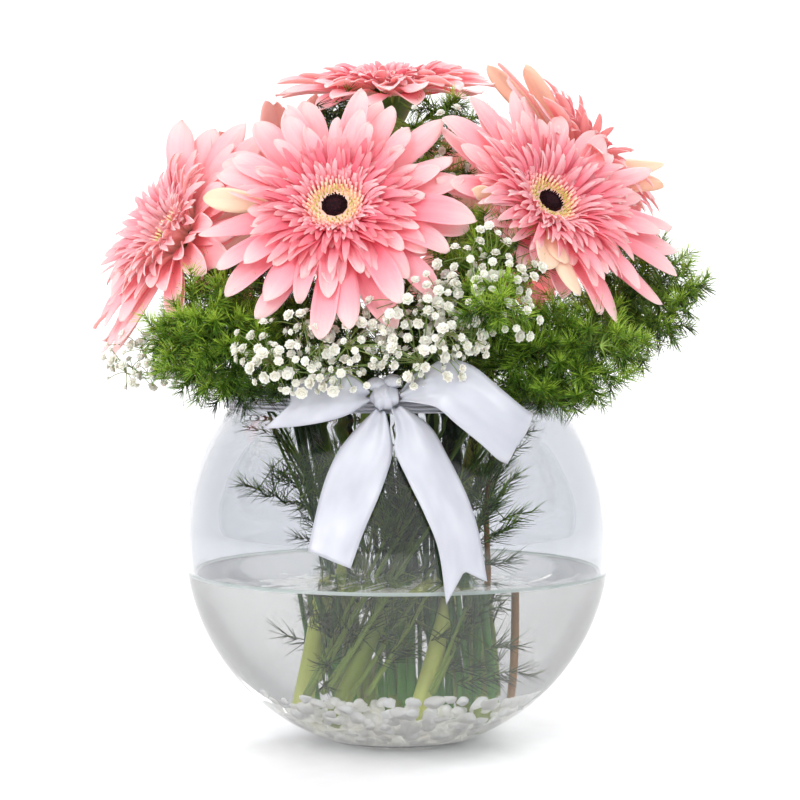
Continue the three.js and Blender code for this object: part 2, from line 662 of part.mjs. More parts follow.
function spraySolid(spray, { curve, stem }, seed) {
  const random = seededRandom(seed);
  const cloud = vector(spray.cloud);
  const parts = [stem];
  const blossoms = [];
  for (let attempt = 0; attempt < 260 && blossoms.length < gyp.blossoms; attempt++) {
    const offset = new THREE.Vector3(random() - 0.5, random() - 0.5, random() - 0.5);
    const middle = cloud.clone().addScaledVector(offset, 2 * spray.spread);
    const from = curve.getPointAt(0.86 + 0.14 * random());
    const way = middle.clone().sub(from);
    const size = gyp.blossom * (0.9 + 0.25 * random());
    const crowded = blossoms.some((other) => other.distanceTo(middle) < 3 * gyp.blossom);
    if (offset.length() > 0.5 || crowded) {
      continue;
    }
    const blossom = blossomSolid(middle, size, random);
    const twig = needleSolid(from, way.clone().normalize(), way.length() + 0.5, gyp.twigRadius);
    if (isClear(blossom, spray.name) && isClear(twig, spray.name)) {
      parts.push(blossom, twig);
      blossoms.push(middle);
    }
  }
  return wasm.Manifold.union(parts);
}

// ---- The bouquet, from the glass outwards ----
addNode("glass_bowl", bowlSolid(), finishes.glass);
for (const bloom of blooms) {
  addNode(bloom.name + "_stem", stemAndCalyx(bloom), finishes.stem);
}
const frondStems = fronds.map(frondStem);
const sprayStems = sprays.map(sprayStem);
const bloomGroups = blooms.map((bloom) => {
  const matrix = bloomMatrix(bloom);
  const bloomGroup = new THREE.Group();
  bloomGroup.applyMatrix4(matrix);
  group.add(bloomGroup);
  addBloomPart(bloomGroup, matrix, bloom.name + "_crown", crownSolid(), finishes.crown);
  addBloomPart(bloomGroup, matrix, bloom.name + "_eye", eyeSolid(), finishes.eye);
  return { bloom, matrix, bloomGroup };
});
for (const { bloom, matrix, bloomGroup } of bloomGroups) {
  addBloomPart(bloomGroup, matrix, bloom.name + "_petals", petalsOf(bloom, matrix), finishes.petal);
}
addRibbon();
sprays.forEach((spray, i) => addNode(spray.name, spraySolid(spray, sprayStems[i], 500 + i), finishes.gyp));
fronds.forEach((frond, i) => addNode(frond.name, frondSolid(frond, frondStems[i], 300 + i), finishes.fern));
addNode("pebbles", pebbleBed(stemHoles), finishes.pebble);
const water = filling(pebbles.heapTop + 2 * seatGap, waterLevel);
addNode("water", water.subtract(wasm.Manifold.union(stemHoles)), finishes.water);

for (const child of group.children) {
  child.position.z -= bowl.footHeight;
}
export default group;
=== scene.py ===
import math
import random

import bpy
import numpy as np
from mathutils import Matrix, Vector


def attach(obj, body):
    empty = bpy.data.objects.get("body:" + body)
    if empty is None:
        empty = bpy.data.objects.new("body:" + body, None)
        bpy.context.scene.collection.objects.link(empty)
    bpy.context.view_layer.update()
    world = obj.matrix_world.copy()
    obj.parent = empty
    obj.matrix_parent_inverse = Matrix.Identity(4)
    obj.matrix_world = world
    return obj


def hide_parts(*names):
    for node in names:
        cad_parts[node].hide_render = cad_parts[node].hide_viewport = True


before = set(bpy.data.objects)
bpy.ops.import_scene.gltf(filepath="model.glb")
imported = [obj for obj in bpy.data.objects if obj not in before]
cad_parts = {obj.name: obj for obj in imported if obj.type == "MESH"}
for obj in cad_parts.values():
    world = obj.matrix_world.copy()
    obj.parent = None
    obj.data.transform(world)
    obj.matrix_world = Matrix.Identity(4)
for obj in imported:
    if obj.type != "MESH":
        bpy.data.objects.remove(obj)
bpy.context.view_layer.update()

mm = 0.001  # settings are in millimetres, and the scene is in metres
# heights are drawn from a plane just above the table, and all is lifted by this to stand on the foot
lift = 6.7
goldenAngle = math.pi * (3 - math.sqrt(5))
# the bowl's sizes, which the stems, the water and the ribbon follow too
bowl = {"radius": 100, "centre": 89.3, "wall": 3, "floor": -1.7, "shoulder": 146, "neck": 154}


# camera and studio: the photograph's view, level with the rim and a little down

cameraSettings = {"place": (1.2, -1000, 188), "pitchDown": 1.95, "lens": 95.6, "sensor": 36, "farthest": 50}
studioSettings = {
    "floorSize": 8,
    "backdropAt": 1.6,
    "backdropHeight": 3,
    "curve": 0.8,
    "worldFront": "f6f6f8",
    "worldSides": "4c4f52",
    "worldStrength": 0.95,
}
# name, place, height of what it points at, size, power, colour, and whether the glass shows it
lights = [
    ("keyLight", (-0.9, -1.1, 1.5), 0.2, (1.2, 1.2), 12.5, "fffdf8", False),
    ("fillLight", (1.4, -0.9, 0.7), 0.15, (1.2, 1.6), 8, "f6f9ff", False),
    ("sheenLeft", (-0.9, -1.6, 0.95), 0.2, (0.6, 0.6), 8, "ffffff", True),
    ("sheenRight", (0.6, -1.6, 1.28), 0.2, (0.5, 0.5), 6, "ffffff", True),
    ("sideLight", (-1.5, -0.3, 0.9), 0.2, (1.2, 1.2), 10, "f5f3ff", False),
    ("rimLight", (0.5, 1.1, 1.3), 0.2, (1.2, 0.8), 16, "ffffff", True),
]
bounces = {"max": 24, "diffuse": 8, "transmission": 24, "transparent_max": 24}


def linear(code):
    # a colour as paint mixers write it, as Blender's own linear one
    shades = [int(code[i:i + 2], 16) / 255 for i in (0, 2, 4)]
    return tuple(s / 12.92 if s <= 0.04045 else ((s + 0.055) / 1.055) ** 2.4 for s in shades) + (1,)


def deselectAll():
    for thing in bpy.context.selected_objects:
        thing.select_set(False)


def makeActive(thing):
    deselectAll()
    thing.select_set(True)
    bpy.context.view_layer.objects.active = thing


def applyModifier(thing, kind, **settings):
    makeActive(thing)
    modifier = thing.modifiers.new(kind.title(), kind)
    for key, value in settings.items():
        setattr(modifier, key, value)
    bpy.ops.object.modifier_apply(modifier=modifier.name)


def newMaterial(name, **sockets):
    material = bpy.data.materials.new(name)
    material.use_nodes = True
    shader = material.node_tree.nodes["Principled BSDF"]
    for key, value in sockets.items():
        shader.inputs[key.replace("_", " ")].default_value = value
    return material, material.node_tree, shader


def addNode(tree, kind, inputs=None, **settings):
    node = tree.nodes.new("ShaderNode" + kind)
    for key, value in settings.items():
        setattr(node, key, value)
    for key, value in (inputs or {}).items():
        if isinstance(value, bpy.types.NodeSocket):
            tree.links.new(value, node.inputs[key])
        else:
            node.inputs[key].default_value = value
    return node


def addRamp(tree, factor, stops):
    node = addNode(tree, "ValToRGB", {"Fac": factor})
    while len(node.color_ramp.elements) < len(stops):
        node.color_ramp.elements.new(0.5)
    for element, (place, code) in zip(node.color_ramp.elements, stops):
        element.position = place
        element.color = linear(code)
    return node.outputs["Color"]


def addNoise(tree, scale, detail=3, roughness=0.55, uvScale=None):
    # a speckle in space, or one drawn out along the UV grid
    vector = scaledUv(tree, uvScale) if uvScale else addNode(tree, "TexCoord").outputs["Object"]
    inputs = {"Vector": vector, "Scale": scale, "Detail": detail, "Roughness": roughness}
    return addNode(tree, "TexNoise", inputs).outputs["Fac"]


def addMix(tree, factor, first, second, blend="MIX"):
    node = addNode(tree, "Mix", data_type="RGBA", blend_type=blend)
    for socket, value in ((0, factor), (6, first), (7, second)):
        if isinstance(value, bpy.types.NodeSocket):
            tree.links.new(value, node.inputs[socket])
        else:
            node.inputs[socket].default_value = value
    return node.outputs[2]


def addPatches(tree, colour, amount, low, high, most, code):
    # lets another colour in where an amount goes from low to high, up to a given grey
    mask = addRamp(tree, amount, [(low, "000000"), (high, most)])
    return addMix(tree, mask, colour, linear(code))


def setColour(tree, shader, colour, paintedGlow=False):
    tree.links.new(colour, shader.inputs["Base Color"])
    # painted glow: the colour also feeds the emission, so the surface lights itself though it is no lamp
    if paintedGlow:
        tree.links.new(colour, shader.inputs["Emission Color"])


def addBump(tree, shader, height, strength, distance):
    bump = addNode(tree, "Bump", {"Height": height, "Strength": strength, "Distance": distance})
    tree.links.new(bump.outputs["Normal"], shader.inputs["Normal"])


def mixSurface(tree, share, first, second):
    mix = addNode(tree, "MixShader", {0: share, 1: first.outputs[0], 2: second.outputs[0]})
    tree.links.new(mix.outputs[0], tree.nodes["Material Output"].inputs["Surface"])


def scaledUv(tree, scale):
    uv = addNode(tree, "TexCoord").outputs["UV"]
    return addNode(tree, "Mapping", {"Vector": uv, "Scale": scale}).outputs["Vector"]


def uvAxis(tree, axis):
    return addNode(tree, "SeparateXYZ", {"Vector": scaledUv(tree, (1, 1, 1))}).outputs[axis]


def toneOf(tree):
    return addNode(tree, "Attribute", attribute_name="tone").outputs["Fac"]


def speckledMaterial(name, stops, noise, patches, grain, bump, **sockets):
    # coloured by tone, with patches of another colour and a fine grain
    material, tree, shader = newMaterial(name, Subsurface_Scale=0.001, **sockets)
    colour = addRamp(tree, toneOf(tree), stops)
    setColour(tree, shader, addPatches(tree, colour, addNoise(tree, *noise), *patches))
    addBump(tree, shader, addNoise(tree, *grain), *bump)
    return material


def addCamera():
    x, y, z = cameraSettings["place"]
    pitch = math.radians(90 - cameraSettings["pitchDown"])
    bpy.ops.object.camera_add(location=(x * mm, y * mm, (z + lift) * mm), rotation=(pitch, 0, 0))
    camera = bpy.context.active_object
    camera.data.lens = cameraSettings["lens"]
    camera.data.sensor_width = cameraSettings["sensor"]
    camera.data.clip_end = cameraSettings["farthest"]
    bpy.context.scene.camera = camera


def addSoftLight(name, place, aimHeight, size, power, code, inGlass):
    bpy.ops.object.light_add(type="AREA", location=place)
    light = bpy.context.active_object
    light.name = name
    light.data.shape = "RECTANGLE"
    light.data.size, light.data.size_y = size
    light.data.energy = power
    light.data.color = linear(code)[:3]
    light.visible_glossy = light.visible_transmission = inGlass
    light.rotation_euler = (Vector((0, 0, aimHeight)) - Vector(place)).to_track_quat("-Z", "Y").to_euler()


def addBackdrop():
    # a floor that sweeps up behind into a wall, as one sheet
    deselectAll()
    size = studioSettings["floorSize"]
    bpy.ops.mesh.primitive_plane_add(size=size, location=(0, studioSettings["backdropAt"] - size / 2, 0))
    sweep = bpy.context.active_object
    sweep.name = "studioSweep"
    bpy.ops.object.transform_apply(location=True, rotation=True, scale=True)
    bpy.ops.object.mode_set(mode="EDIT")
    bpy.ops.mesh.select_all(action="DESELECT")
    bpy.ops.object.mode_set(mode="OBJECT")
    for edge in sweep.data.edges:
        ends = [sweep.data.vertices[i].co.y for i in edge.vertices]
        edge.select = min(ends) > studioSettings["backdropAt"] - 0.01
    bpy.ops.object.mode_set(mode="EDIT")
    bpy.ops.mesh.select_mode(type="EDGE")
    move = {"value": (0, 0, studioSettings["backdropHeight"])}
    bpy.ops.mesh.extrude_region_move(TRANSFORM_OT_translate=move)
    bpy.ops.object.mode_set(mode="OBJECT")
    applyModifier(sweep, "BEVEL", width=studioSettings["curve"], segments=16, limit_method="ANGLE")
    makeActive(sweep)
    bpy.ops.object.shade_smooth()
    material, tree, shader = newMaterial("studioPaper", Roughness=0.9, Specular_IOR_Level=0.2)
    setColour(tree, shader, addRamp(tree, addNoise(tree, 40, 4), [(0.3, "eeeeee"), (0.7, "f4f4f4")]))
    sweep.data.materials.append(material)


def addStudio():
    # darker to the left and right, which draws the edges of the glass
    world = bpy.data.worlds.new("studioWorld")
    world.use_nodes = True
    tree = world.node_tree
    direction = addNode(tree, "TexCoord").outputs["Generated"]
    across = addNode(tree, "SeparateXYZ", {"Vector": direction}).outputs["X"]
    amount = addNode(tree, "Math", {0: across}, operation="ABSOLUTE").outputs[0]
    stops = [(0.58, studioSettings["worldFront"]), (0.86, studioSettings["worldSides"])]
    tree.links.new(addRamp(tree, amount, stops), tree.nodes["Background"].inputs["Color"])
    tree.nodes["Background"].inputs["Strength"].default_value = studioSettings["worldStrength"]
    bpy.context.scene.world = world
    for light in lights:
        addSoftLight(*light)
    bpy.context.scene.view_settings.view_transform = "Standard"
    for kind, count in bounces.items():
        setattr(bpy.context.scene.cycles, kind + "_bounces", count)


addCamera()
addStudio()
addBackdrop()
print("camera and studio are set")


# shared shapes

def takeTemplate():
    # the newest primitive as points and triangles, and the object goes away
    thing = bpy.context.active_object
    bpy.ops.object.mode_set(mode="EDIT")
    bpy.ops.mesh.select_all(action="SELECT")
    bpy.ops.mesh.quads_convert_to_tris()
    bpy.ops.object.mode_set(mode="OBJECT")
    points = np.empty(len(thing.data.vertices) * 3)
    thing.data.vertices.foreach_get("co", points)
    faces = np.array([list(face.vertices) for face in thing.data.polygons])
    mesh = thing.data
    bpy.data.objects.remove(thing)
    bpy.data.meshes.remove(mesh)
    return points.reshape(-1, 3), faces


def bladeTemplate(lengthwise, across):
    # a flat grid whose x and y are how far along and across a blade a point is, both from 0 to 1,
    # with more rows near the tip
    deselectAll()
    bpy.ops.mesh.primitive_grid_add(x_subdivisions=lengthwise, y_subdivisions=across, size=1)
    points, faces = takeTemplate()
    uv = points[:, :2] + 0.5
    uv[:, 0] = 1 - (1 - uv[:, 0]) ** 1.5
    return uv, faces


def coneTemplate(sides, low, high):
    # a thin cone up +Z from the origin, of length 1
    deselectAll()
    bpy.ops.mesh.primitive_cone_add(vertices=sides, radius1=low, radius2=high, depth=1, location=(0, 0, 0))
    points, faces = takeTemplate()
    points[:, 2] += 0.5
    return points, faces


def ballTemplate(level):
    deselectAll()
    bpy.ops.mesh.primitive_ico_sphere_add(subdivisions=level, radius=1, location=(0, 0, 0))
    return takeTemplate()


def newStock():
    return {"points": [], "faces": [], "uvs": [], "tones": [], "slots": [], "count": 0}


def addCopy(stock, points, faces, uvs=None, tone=0.5, slot=0):
    stock["points"].append(points)
    stock["faces"].append(faces + stock["count"])
    stock["uvs"].append(points[:, :2] * 0 if uvs is None else uvs)
    stock["tones"].append(np.broadcast_to(tone, len(points)))
    stock["slots"].append(np.full(len(faces), slot))
    stock["count"] += len(points)


def makeObject(name, stock, materials):
    points = (np.concatenate(stock["points"]) + (0, 0, lift)) * mm
    faces = np.concatenate(stock["faces"])
    mesh = bpy.data.meshes.new(name)
    mesh.vertices.add(len(points))
    mesh.vertices.foreach_set("co", points.ravel())
    mesh.loops.add(faces.size)
    mesh.loops.foreach_set("vertex_index", faces.ravel())
    mesh.polygons.add(len(faces))
    mesh.polygons.foreach_set("loop_start", np.arange(0, faces.size, 3))
    mesh.polygons.foreach_set("material_index", np.concatenate(stock["slots"]))
    mesh.polygons.foreach_set("use_smooth", np.ones(len(faces), dtype=bool))
    mesh.update(calc_edges=True)
    layer = mesh.uv_layers.new(name="UVMap")
    layer.data.foreach_set("uv", np.concatenate(stock["uvs"])[faces.ravel()].ravel())
    tones = mesh.attributes.new("tone", "FLOAT", "POINT")
    tones.data.foreach_set("value", np.concatenate(stock["tones"]))
    for material in materials:
        mesh.materials.append(material)
    thing = bpy.data.objects.new(name, mesh)
    bpy.context.collection.objects.link(thing)
    return thing


def standsFor(thing, slotName, *nodes):
    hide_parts(*nodes)
    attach(thing, "root")


def unit(vector):
    vector = np.asarray(vector, dtype=float)
    return vector / np.linalg.norm(vector)


def scatter(rng, spread=1):
    return np.array([rng.gauss(0, spread) for _ in range(3)])


def spinAboutZ(angle):
    c, s = math.cos(angle), math.sin(angle)
    return np.array([[c, -s, 0], [s, c, 0], [0, 0, 1]])


def turnedTo(direction, spin=0.0):
    # a 3 by 3 turn that takes +Z to a direction by the shortest way, after a spin about +Z
    turn = Vector((0, 0, 1)).rotation_difference(Vector(direction)).to_matrix()
    return np.array(turn) @ spinAboutZ(spin)


def smoothPath(controls, count):
    # an evenly paced curve through the points, of the same kind as the solids' stems
    controls = [np.asarray(point, dtype=float) for point in controls]
    ends = [2 * controls[0] - controls[1]] + controls + [2 * controls[-1] - controls[-2]]
    fine = []
    for p0, p1, p2, p3 in zip(ends, ends[1:], ends[2:], ends[3:]):
        d0, d1, d2 = [max(np.linalg.norm(b - a) ** 0.5, 1e-4) for a, b in ((p0, p1), (p1, p2), (p2, p3))]
        m1 = ((p1 - p0) / d0 - (p2 - p0) / (d0 + d1) + (p2 - p1) / d1) * d1
        m2 = ((p2 - p1) / d1 - (p3 - p1) / (d1 + d2) + (p3 - p2) / d2) * d1
        for t in np.linspace(0, 1, 24, endpoint=False):
            a, b = (1 + 2 * t) * (1 - t) ** 2, t * (1 - t) ** 2
            c, d = t * t * (3 - 2 * t), t * t * (t - 1)
            fine.append(a * p1 + b * m1 + c * p2 + d * m2)
    fine = np.array(fine + [controls[-1]])
    travelled = np.concatenate([[0], np.cumsum(np.linalg.norm(np.diff(fine, axis=0), axis=1))])
    wanted = np.linspace(0, travelled[-1], count)
    return np.stack([np.interp(wanted, travelled, fine[:, k]) for k in range(3)], axis=1)


def addTube(stock, path, radii, sides, tone=0.5, slot=0, ribs=0.0):
    path = np.asarray(path, dtype=float)
    radii = np.broadcast_to(radii, len(path))
    tangents = np.gradient(path, axis=0)
    tangents /= np.linalg.norm(tangents, axis=1)[:, None]
    side = unit(np.cross(tangents[0], (0.31, 0.83, 0.47)))
    angles = 2 * np.pi * np.arange(sides) / sides
    swell = 1 + ribs * np.cos(angles * sides / 2)
    rings = []
    for point, tangent, radius in zip(path, tangents, radii):
        side = unit(side - tangent * (side @ tangent))
        over = np.cross(tangent, side)
        ring = np.outer(np.cos(angles) * swell, side) + np.outer(np.sin(angles) * swell, over)
        rings.append(point + radius * ring)
    points = np.concatenate(rings + [path[:1], path[-1:]])
    around = np.arange(sides)
    after = (around + 1) % sides
    faces = []
    for i in range(len(path) - 1):
        a, b, c, d = i * sides + around, i * sides + after, (i + 1) * sides + after, (i + 1) * sides + around
        faces += [np.stack([a, b, c], axis=1), np.stack([a, c, d], axis=1)]
    last, first = len(points) - 1, len(points) - 2
    top = (len(path) - 1) * sides
    faces.append(np.stack([np.full(sides, first), after, around], axis=1))
    faces.append(np.stack([np.full(sides, last), top + around, top + after], axis=1))
    along = np.repeat(np.linspace(0, 1, len(path)), sides)
    uvs = np.stack([np.tile(around / sides, len(path)), along], axis=1)
    uvs = np.concatenate([uvs, [[0, 0], [0, 1]]])
    addCopy(stock, points, np.concatenate(faces), uvs, tone, slot)


def addStrand(stock, controls, steps, radii, sides, tone=0.5, slot=1):
    addTube(stock, smoothPath(controls, steps), radii, sides, tone, slot)


def nodePoints(node):
    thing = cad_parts[node]
    points = np.array([thing.matrix_world @ vertex.co for vertex in thing.data.vertices])
    return points / mm - (0, 0, lift)


def stemFootAndNeck(node):
    # the solid's stem is straight below the neck, so a line through its points there gives both
    points = nodePoints(node)
    low = points[points[:, 2] < bowl["shoulder"]]
    middle = low.mean(axis=0)
    axis = np.linalg.svd(low - middle)[2][0]
    heights = (low[:, 2].min() + 1, bowl["neck"])
    return [middle + axis * (height - middle[2]) / axis[2] for height in heights]


grid = {
    "ray": bladeTemplate(14, 7),
    "floret": bladeTemplate(6, 2),
    "bract": bladeTemplate(4, 2),
    "ball": ballTemplate(1),
    "stone": ballTemplate(2),
    "tube": coneTemplate(5, 0.55, 1.0),
    "needle": coneTemplate(3, 1.0, 0.3),
}


# a petal or bract before its own changes: where it is widest, how wide its root and how blunt its tip is,
# how it cups, grooves and waves, and how it twists and bends aside
plainBlade = {"belly": 0.62, "root": 0.36, "blunt": 2.6, "cup": 0, "groove": 0, "wave": 0, "phase": 0,
              "twist": 0, "twistFrom": 1.2, "sway": 0}


def bladePoints(uv, changes):
    # in the blade's own frame: along +X, across Y, with its face up +Z
    blade = {**plainBlade, **changes}
    u, v = uv[:, 0], uv[:, 1] * 2 - 1
    steps = np.linspace(0, 1, 40)
    angles = math.radians(blade["rise"]) - math.radians(blade["rise"] + blade["droop"]) * steps ** 1.3
    reached, lifted = [np.concatenate([[0], np.cumsum(way(angles))[:-1]]) / (len(steps) - 1) * blade["length"]
                       for way in (np.cos, np.sin)]
    angle = np.interp(u, steps, angles)
    belly, root = blade["belly"], blade["root"]
    swelling = root + (1 - root) * np.sin(np.pi / 2 * np.clip(u / belly, 0, 1))
    closing = 1 - np.clip((u - belly) / (1 - belly), 0, 1) ** blade["blunt"]
    half = blade["width"] / 2 * swelling * np.clip(closing, 0.006, 1) ** 0.66
    across = v * half
    over = half * blade["cup"] * v ** 2 + blade["groove"] * np.cos(2 * np.pi * v) * np.sin(np.pi * u)
    over = over + blade["wave"] * v * np.sin(2 * np.pi * (1.3 * u + blade["phase"])) * u
    turn = math.radians(blade["twist"]) * u ** blade["twistFrom"]
    y = across * np.cos(turn) - over * np.sin(turn) + blade["sway"] * blade["length"] * u ** 2
    rise = across * np.sin(turn) + over * np.cos(turn)
    x = np.interp(u, steps, reached) - np.sin(angle) * rise
    z = np.interp(u, steps, lifted) + np.cos(angle) * rise
    return np.stack([x, y, z], axis=1)


# gerberas

gerbera = {
    "radius": 62,
    "hubDepth": 6.2,
    "calyxRadius": 13,
    "calyxDepth": 17,
    "bracts": 18,
    "bractWidth": 4.2,
    "bractRows": ((0.62, 11), (0.42, 12), (0.22, 12)),  # how far up the calyx, and how long
    "stemRadius": 3.4,
    "eyeRadius": 5.9,
    "eyeBuds": 90,
    "budSize": (0.44, 0.44, 0.8),
    "crownRadius": 13.6,
    "crownFlorets": 190,
    "floretHeight": (2.8, 5.0),  # at the eye, and how much more at the rim of the crown
    "floretRadius": (0.42, 0.34),
    "petalThickness": 0.36,
}
# rings of rays from the outside in, and the fringe of short ones round the crown, row by row:
# reach is a share of the radius, and from and height are where the root stands
ringKeys = ("count", "reach", "width", "rise", "droop", "from", "height", "tone")
rayRings = [
    (13, 1.0, 13.4, 6, 10, 13, -4.2),
    (12, 0.98, 12.6, 12, 8, 13, -3.0),
    (11, 0.82, 10.4, 19, 6, 13.5, -2.0),
    (18, 0.66, 7.0, 26, 6, 14, -1.2),
]
fringeRings = [
    (40, 0.57, 4.6, 30, 6, 15, -0.6, 0.22),
    (48, 0.51, 3.8, 39, 2, 14.6, 0.0, 0.1),
    (54, 0.45, 3.2, 49, 0, 14.2, 0.4, 0.06),
    (54, 0.39, 2.7, 60, 0, 13.2, 0.7, 0.16),
    (50, 0.32, 2.2, 71, -6, 12.2, 0.9, 0.6),
]
# long and short: where the rays grow longer and lie flatter, and where they stay short, as a direction
# and a share. curled: single rays, found by ring and by where they point, and what is unlike the others
# about them
# how much paler a bloom's petals are drawn: partly their own paler colour, partly painted light on blooms
# that sit in shade
plainBloom = {"size": 1, "slim": 1, "long": (0, 0, 1, 0), "short": (0, 0, 1, 0), "lift": 0, "hang": 17,
              "fringeLift": 0, "fringeReach": 1, "paleAndPaintedLight": 0, "paleStem": False, "curled": []}
blooms = {
    "front": {
        "at": (-27, -75, 240), "facing": (-0.08, -0.84, 0.54), "turn": 12, "paleStem": True,
        "long": (0, 0, 1, 0.09),
        "curled": [(1, (-1, 0, 0.02), {"twist": 165, "twistFrom": 0.7, "width": 11, "droop": 14})],
    },
    "right": {
        "at": (67, -55, 243), "facing": (0.45, -0.7, 0.55), "turn": 10, "slim": 0.9, "paleAndPaintedLight": 0.1,
        "long": (0.9, 0, -0.3, 0.1), "short": (-0.55, -0.6, -0.6, 0.42), "fringeLift": 5, "fringeReach": 1.15,
        "curled": [
            (3, (-0.05, -0.62, -0.79), {"rise": 30, "droop": 6, "twist": 172, "twistFrom": 0.03, "width": 14,
                                        "length": 24}),
            (2, (0.02, -0.62, -0.79), {"rise": 25, "droop": 8, "twist": 168, "twistFrom": 0.03, "width": 15,
                                       "length": 31}),
            (1, (0.08, -0.62, -0.79), {"rise": 18, "droop": 8, "twist": 164, "twistFrom": 0.03, "width": 14,
                                       "length": 38}),
            (2, (-0.9, 0, -0.5), {"twist": 130, "twistFrom": 0.9}),
        ],
    },
    "left": {
        "at": (-102, -24, 231), "facing": (-0.77, -0.43, 0.47), "turn": 0, "size": 0.98, "hang": -5,
        "long": (-0.4, -0.5, -0.76, 0.07), "fringeLift": 28, "fringeReach": 1.12, "paleAndPaintedLight": 0.44,
        "curled": [
            (1, (0.3, 0.6, 0.75), {"rise": 42, "droop": -6, "twist": 60, "width": 15, "length": 45,
                                   "tone": 0.95}),
            (0, (0.45, 0.1, 0.9), {"twist": 55, "twistFrom": 0.4, "width": 15, "tone": 0.95}),
            (1, (0.45, -0.1, 0.9), {"twist": 50, "twistFrom": 0.4, "width": 14, "tone": 0.85}),
            (0, (0.4, 0.45, 0.8), {"rise": 24, "twist": 60, "twistFrom": 0.4, "width": 15, "tone": 0.9}),
            (0, (0.3, -0.5, 0.8), {"twist": 40, "twistFrom": 0.4, "width": 14, "tone": 0.85}),
            (2, (0.4, 0.2, 0.9), {"twist": 50, "twistFrom": 0.4, "width": 12, "tone": 0.8}),
            (0, (-0.4, -0.35, -0.85), {"rise": 10, "droop": -7, "length": 53, "width": 13}),
            (1, (-0.4, -0.35, -0.85), {"rise": 14, "droop": -6, "length": 50, "width": 12}),
        ],
    },
    "top": {
        "at": (-4, 18, 304), "facing": (-0.04, -0.2, 0.98), "turn": 6, "size": 0.88, "lift": 3,
        "fringeLift": 6, "paleAndPaintedLight": 0.16,
    },
    "right_rear": {
        "at": (88, 22, 270), "facing": (0.72, -0.02, 0.69), "turn": 12, "paleStem": True, "paleAndPaintedLight": 0.32,
        "fringeReach": 1.18, "fringeLift": 6,
        "curled": [
            (0, (-0.75, 0, 0.7), {"twist": 75, "twistFrom": 0.4, "width": 10, "tone": 1.6}),
            (1, (-0.7, -0.4, 0.6), {"twist": 70, "twistFrom": 0.4, "width": 9.5, "tone": 1.7}),
            (0, (0.85, -0.4, 0.05), {"twist": -105, "twistFrom": 0.3, "rise": 50, "droop": -46, "length": 37,
                                     "width": 13, "belly": 0.4, "blunt": 1.6, "tone": 1.85}),
            (1, (0.82, -0.4, -0.2), {"twist": -95, "twistFrom": 0.3, "rise": 38, "droop": -30, "length": 35,
                                     "width": 12, "belly": 0.4, "blunt": 1.6, "tone": 1.75}),
        ],
    },
    "rear_left": {"at": (-60, 62, 250), "facing": (-0.55, 0.62, 0.56), "turn": 3, "paleAndPaintedLight": 0.3},
    "rear_right": {"at": (38, 86, 238), "facing": (0.32, 0.78, 0.54), "turn": 8},
}


def petalMaterial():
    # tone: 0 to 0.3 for the fringe, up to 1 for rays, and 2 for curled ones
    # painted glow: a weak emission in the petal colour lifts the petals where they sit in shade
    material, tree, shader = newMaterial(
        "petalPink", Roughness=0.48, Specular_IOR_Level=0.3, Subsurface_Weight=0.35,
        Subsurface_Radius=(1.0, 0.42, 0.38), Subsurface_Scale=0.0014, Sheen_Weight=0.1,
        Emission_Strength=0.08,
    )
    # from a deep root to a pale tip: partly the petal's own colour, and the deepest root stops are painted
    # shade where the petals crowd together
    stops = [(0.0, "d9304c"), (0.22, "ee566f"), (0.5, "f88c9b"), (0.74, "faafb8"), (0.92, "fbd0d0"),
             (1.0, "fbdfda")]
    tone = toneOf(tree)
    colour = addPatches(tree, addRamp(tree, uvAxis(tree, "X"), stops), tone, 0.4, 1.0, "b8b8b8", "fcd6d6")
    deepness = addRamp(tree, tone, [(0.0, "d4d4d4"), (0.34, "101010")])
    colour = addMix(tree, deepness, colour, linear("f54c66"))
    veins = addNoise(tree, 1.0, 3, 0.6, (2.2, 26, 1))
    colour = addPatches(tree, colour, veins, 0.45, 0.8, "808080", "ef768c")
    colour = addPatches(tree, colour, addNoise(tree, 90, 2), 0.4, 0.8, "303030", "fcd6d4")
    setColour(tree, shader, colour, paintedGlow=True)
    addBump(tree, shader, veins, 0.7, 0.0005)
    # some of the light goes through
    mixSurface(tree, 0.2, shader, addNode(tree, "BsdfTranslucent", {"Color": colour}))
    return material


def petalBackMaterial():
    # coral behind the fringe, pink behind the rays, and cream on the curled ones
    # painted glow: a weak emission in the back colour lifts the petal backs that sit in shade
    material, tree, shader = newMaterial(
        "petalBack", Roughness=0.55, Specular_IOR_Level=0.25, Subsurface_Weight=0.35,
        Subsurface_Radius=(1.0, 0.6, 0.45), Subsurface_Scale=0.0014, Emission_Strength=0.1,
    )
    halved = addNode(tree, "Math", {0: toneOf(tree), 1: 0.5}, operation="MULTIPLY").outputs[0]
    stops = [(0.1, "f58f9d"), (0.2, "f9bcbc"), (0.5, "fac6c0"), (0.75, "f5cab6"), (0.98, "f3e0c4")]
    rootward = addRamp(tree, uvAxis(tree, "X"), [(0.0, "b0b0b0"), (0.45, "000000")])
    colour = addMix(tree, rootward, addRamp(tree, halved, stops), linear("efdca8"))
    veins = addNoise(tree, 1.0, 3, 0.6, (2.2, 22, 1))
    colour = addPatches(tree, colour, veins, 0.45, 0.8, "5c5c5c", "f0a69a")
    setColour(tree, shader, colour, paintedGlow=True)
    addBump(tree, shader, veins, 0.4, 0.0004)
    mixSurface(tree, 0.28, shader, addNode(tree, "BsdfTranslucent", {"Color": colour}))
    return material


def eyeMaterial():
    material, tree, shader = newMaterial("eyeMaroon", Roughness=0.85, Specular_IOR_Level=0.2)
    speckle = addNoise(tree, 1400, 2)
    setColour(tree, shader, addRamp(tree, speckle, [(0.35, "100308"), (0.6, "260810"), (0.8, "43161d")]))
    addBump(tree, shader, speckle, 0.5, 0.0004)
    return material


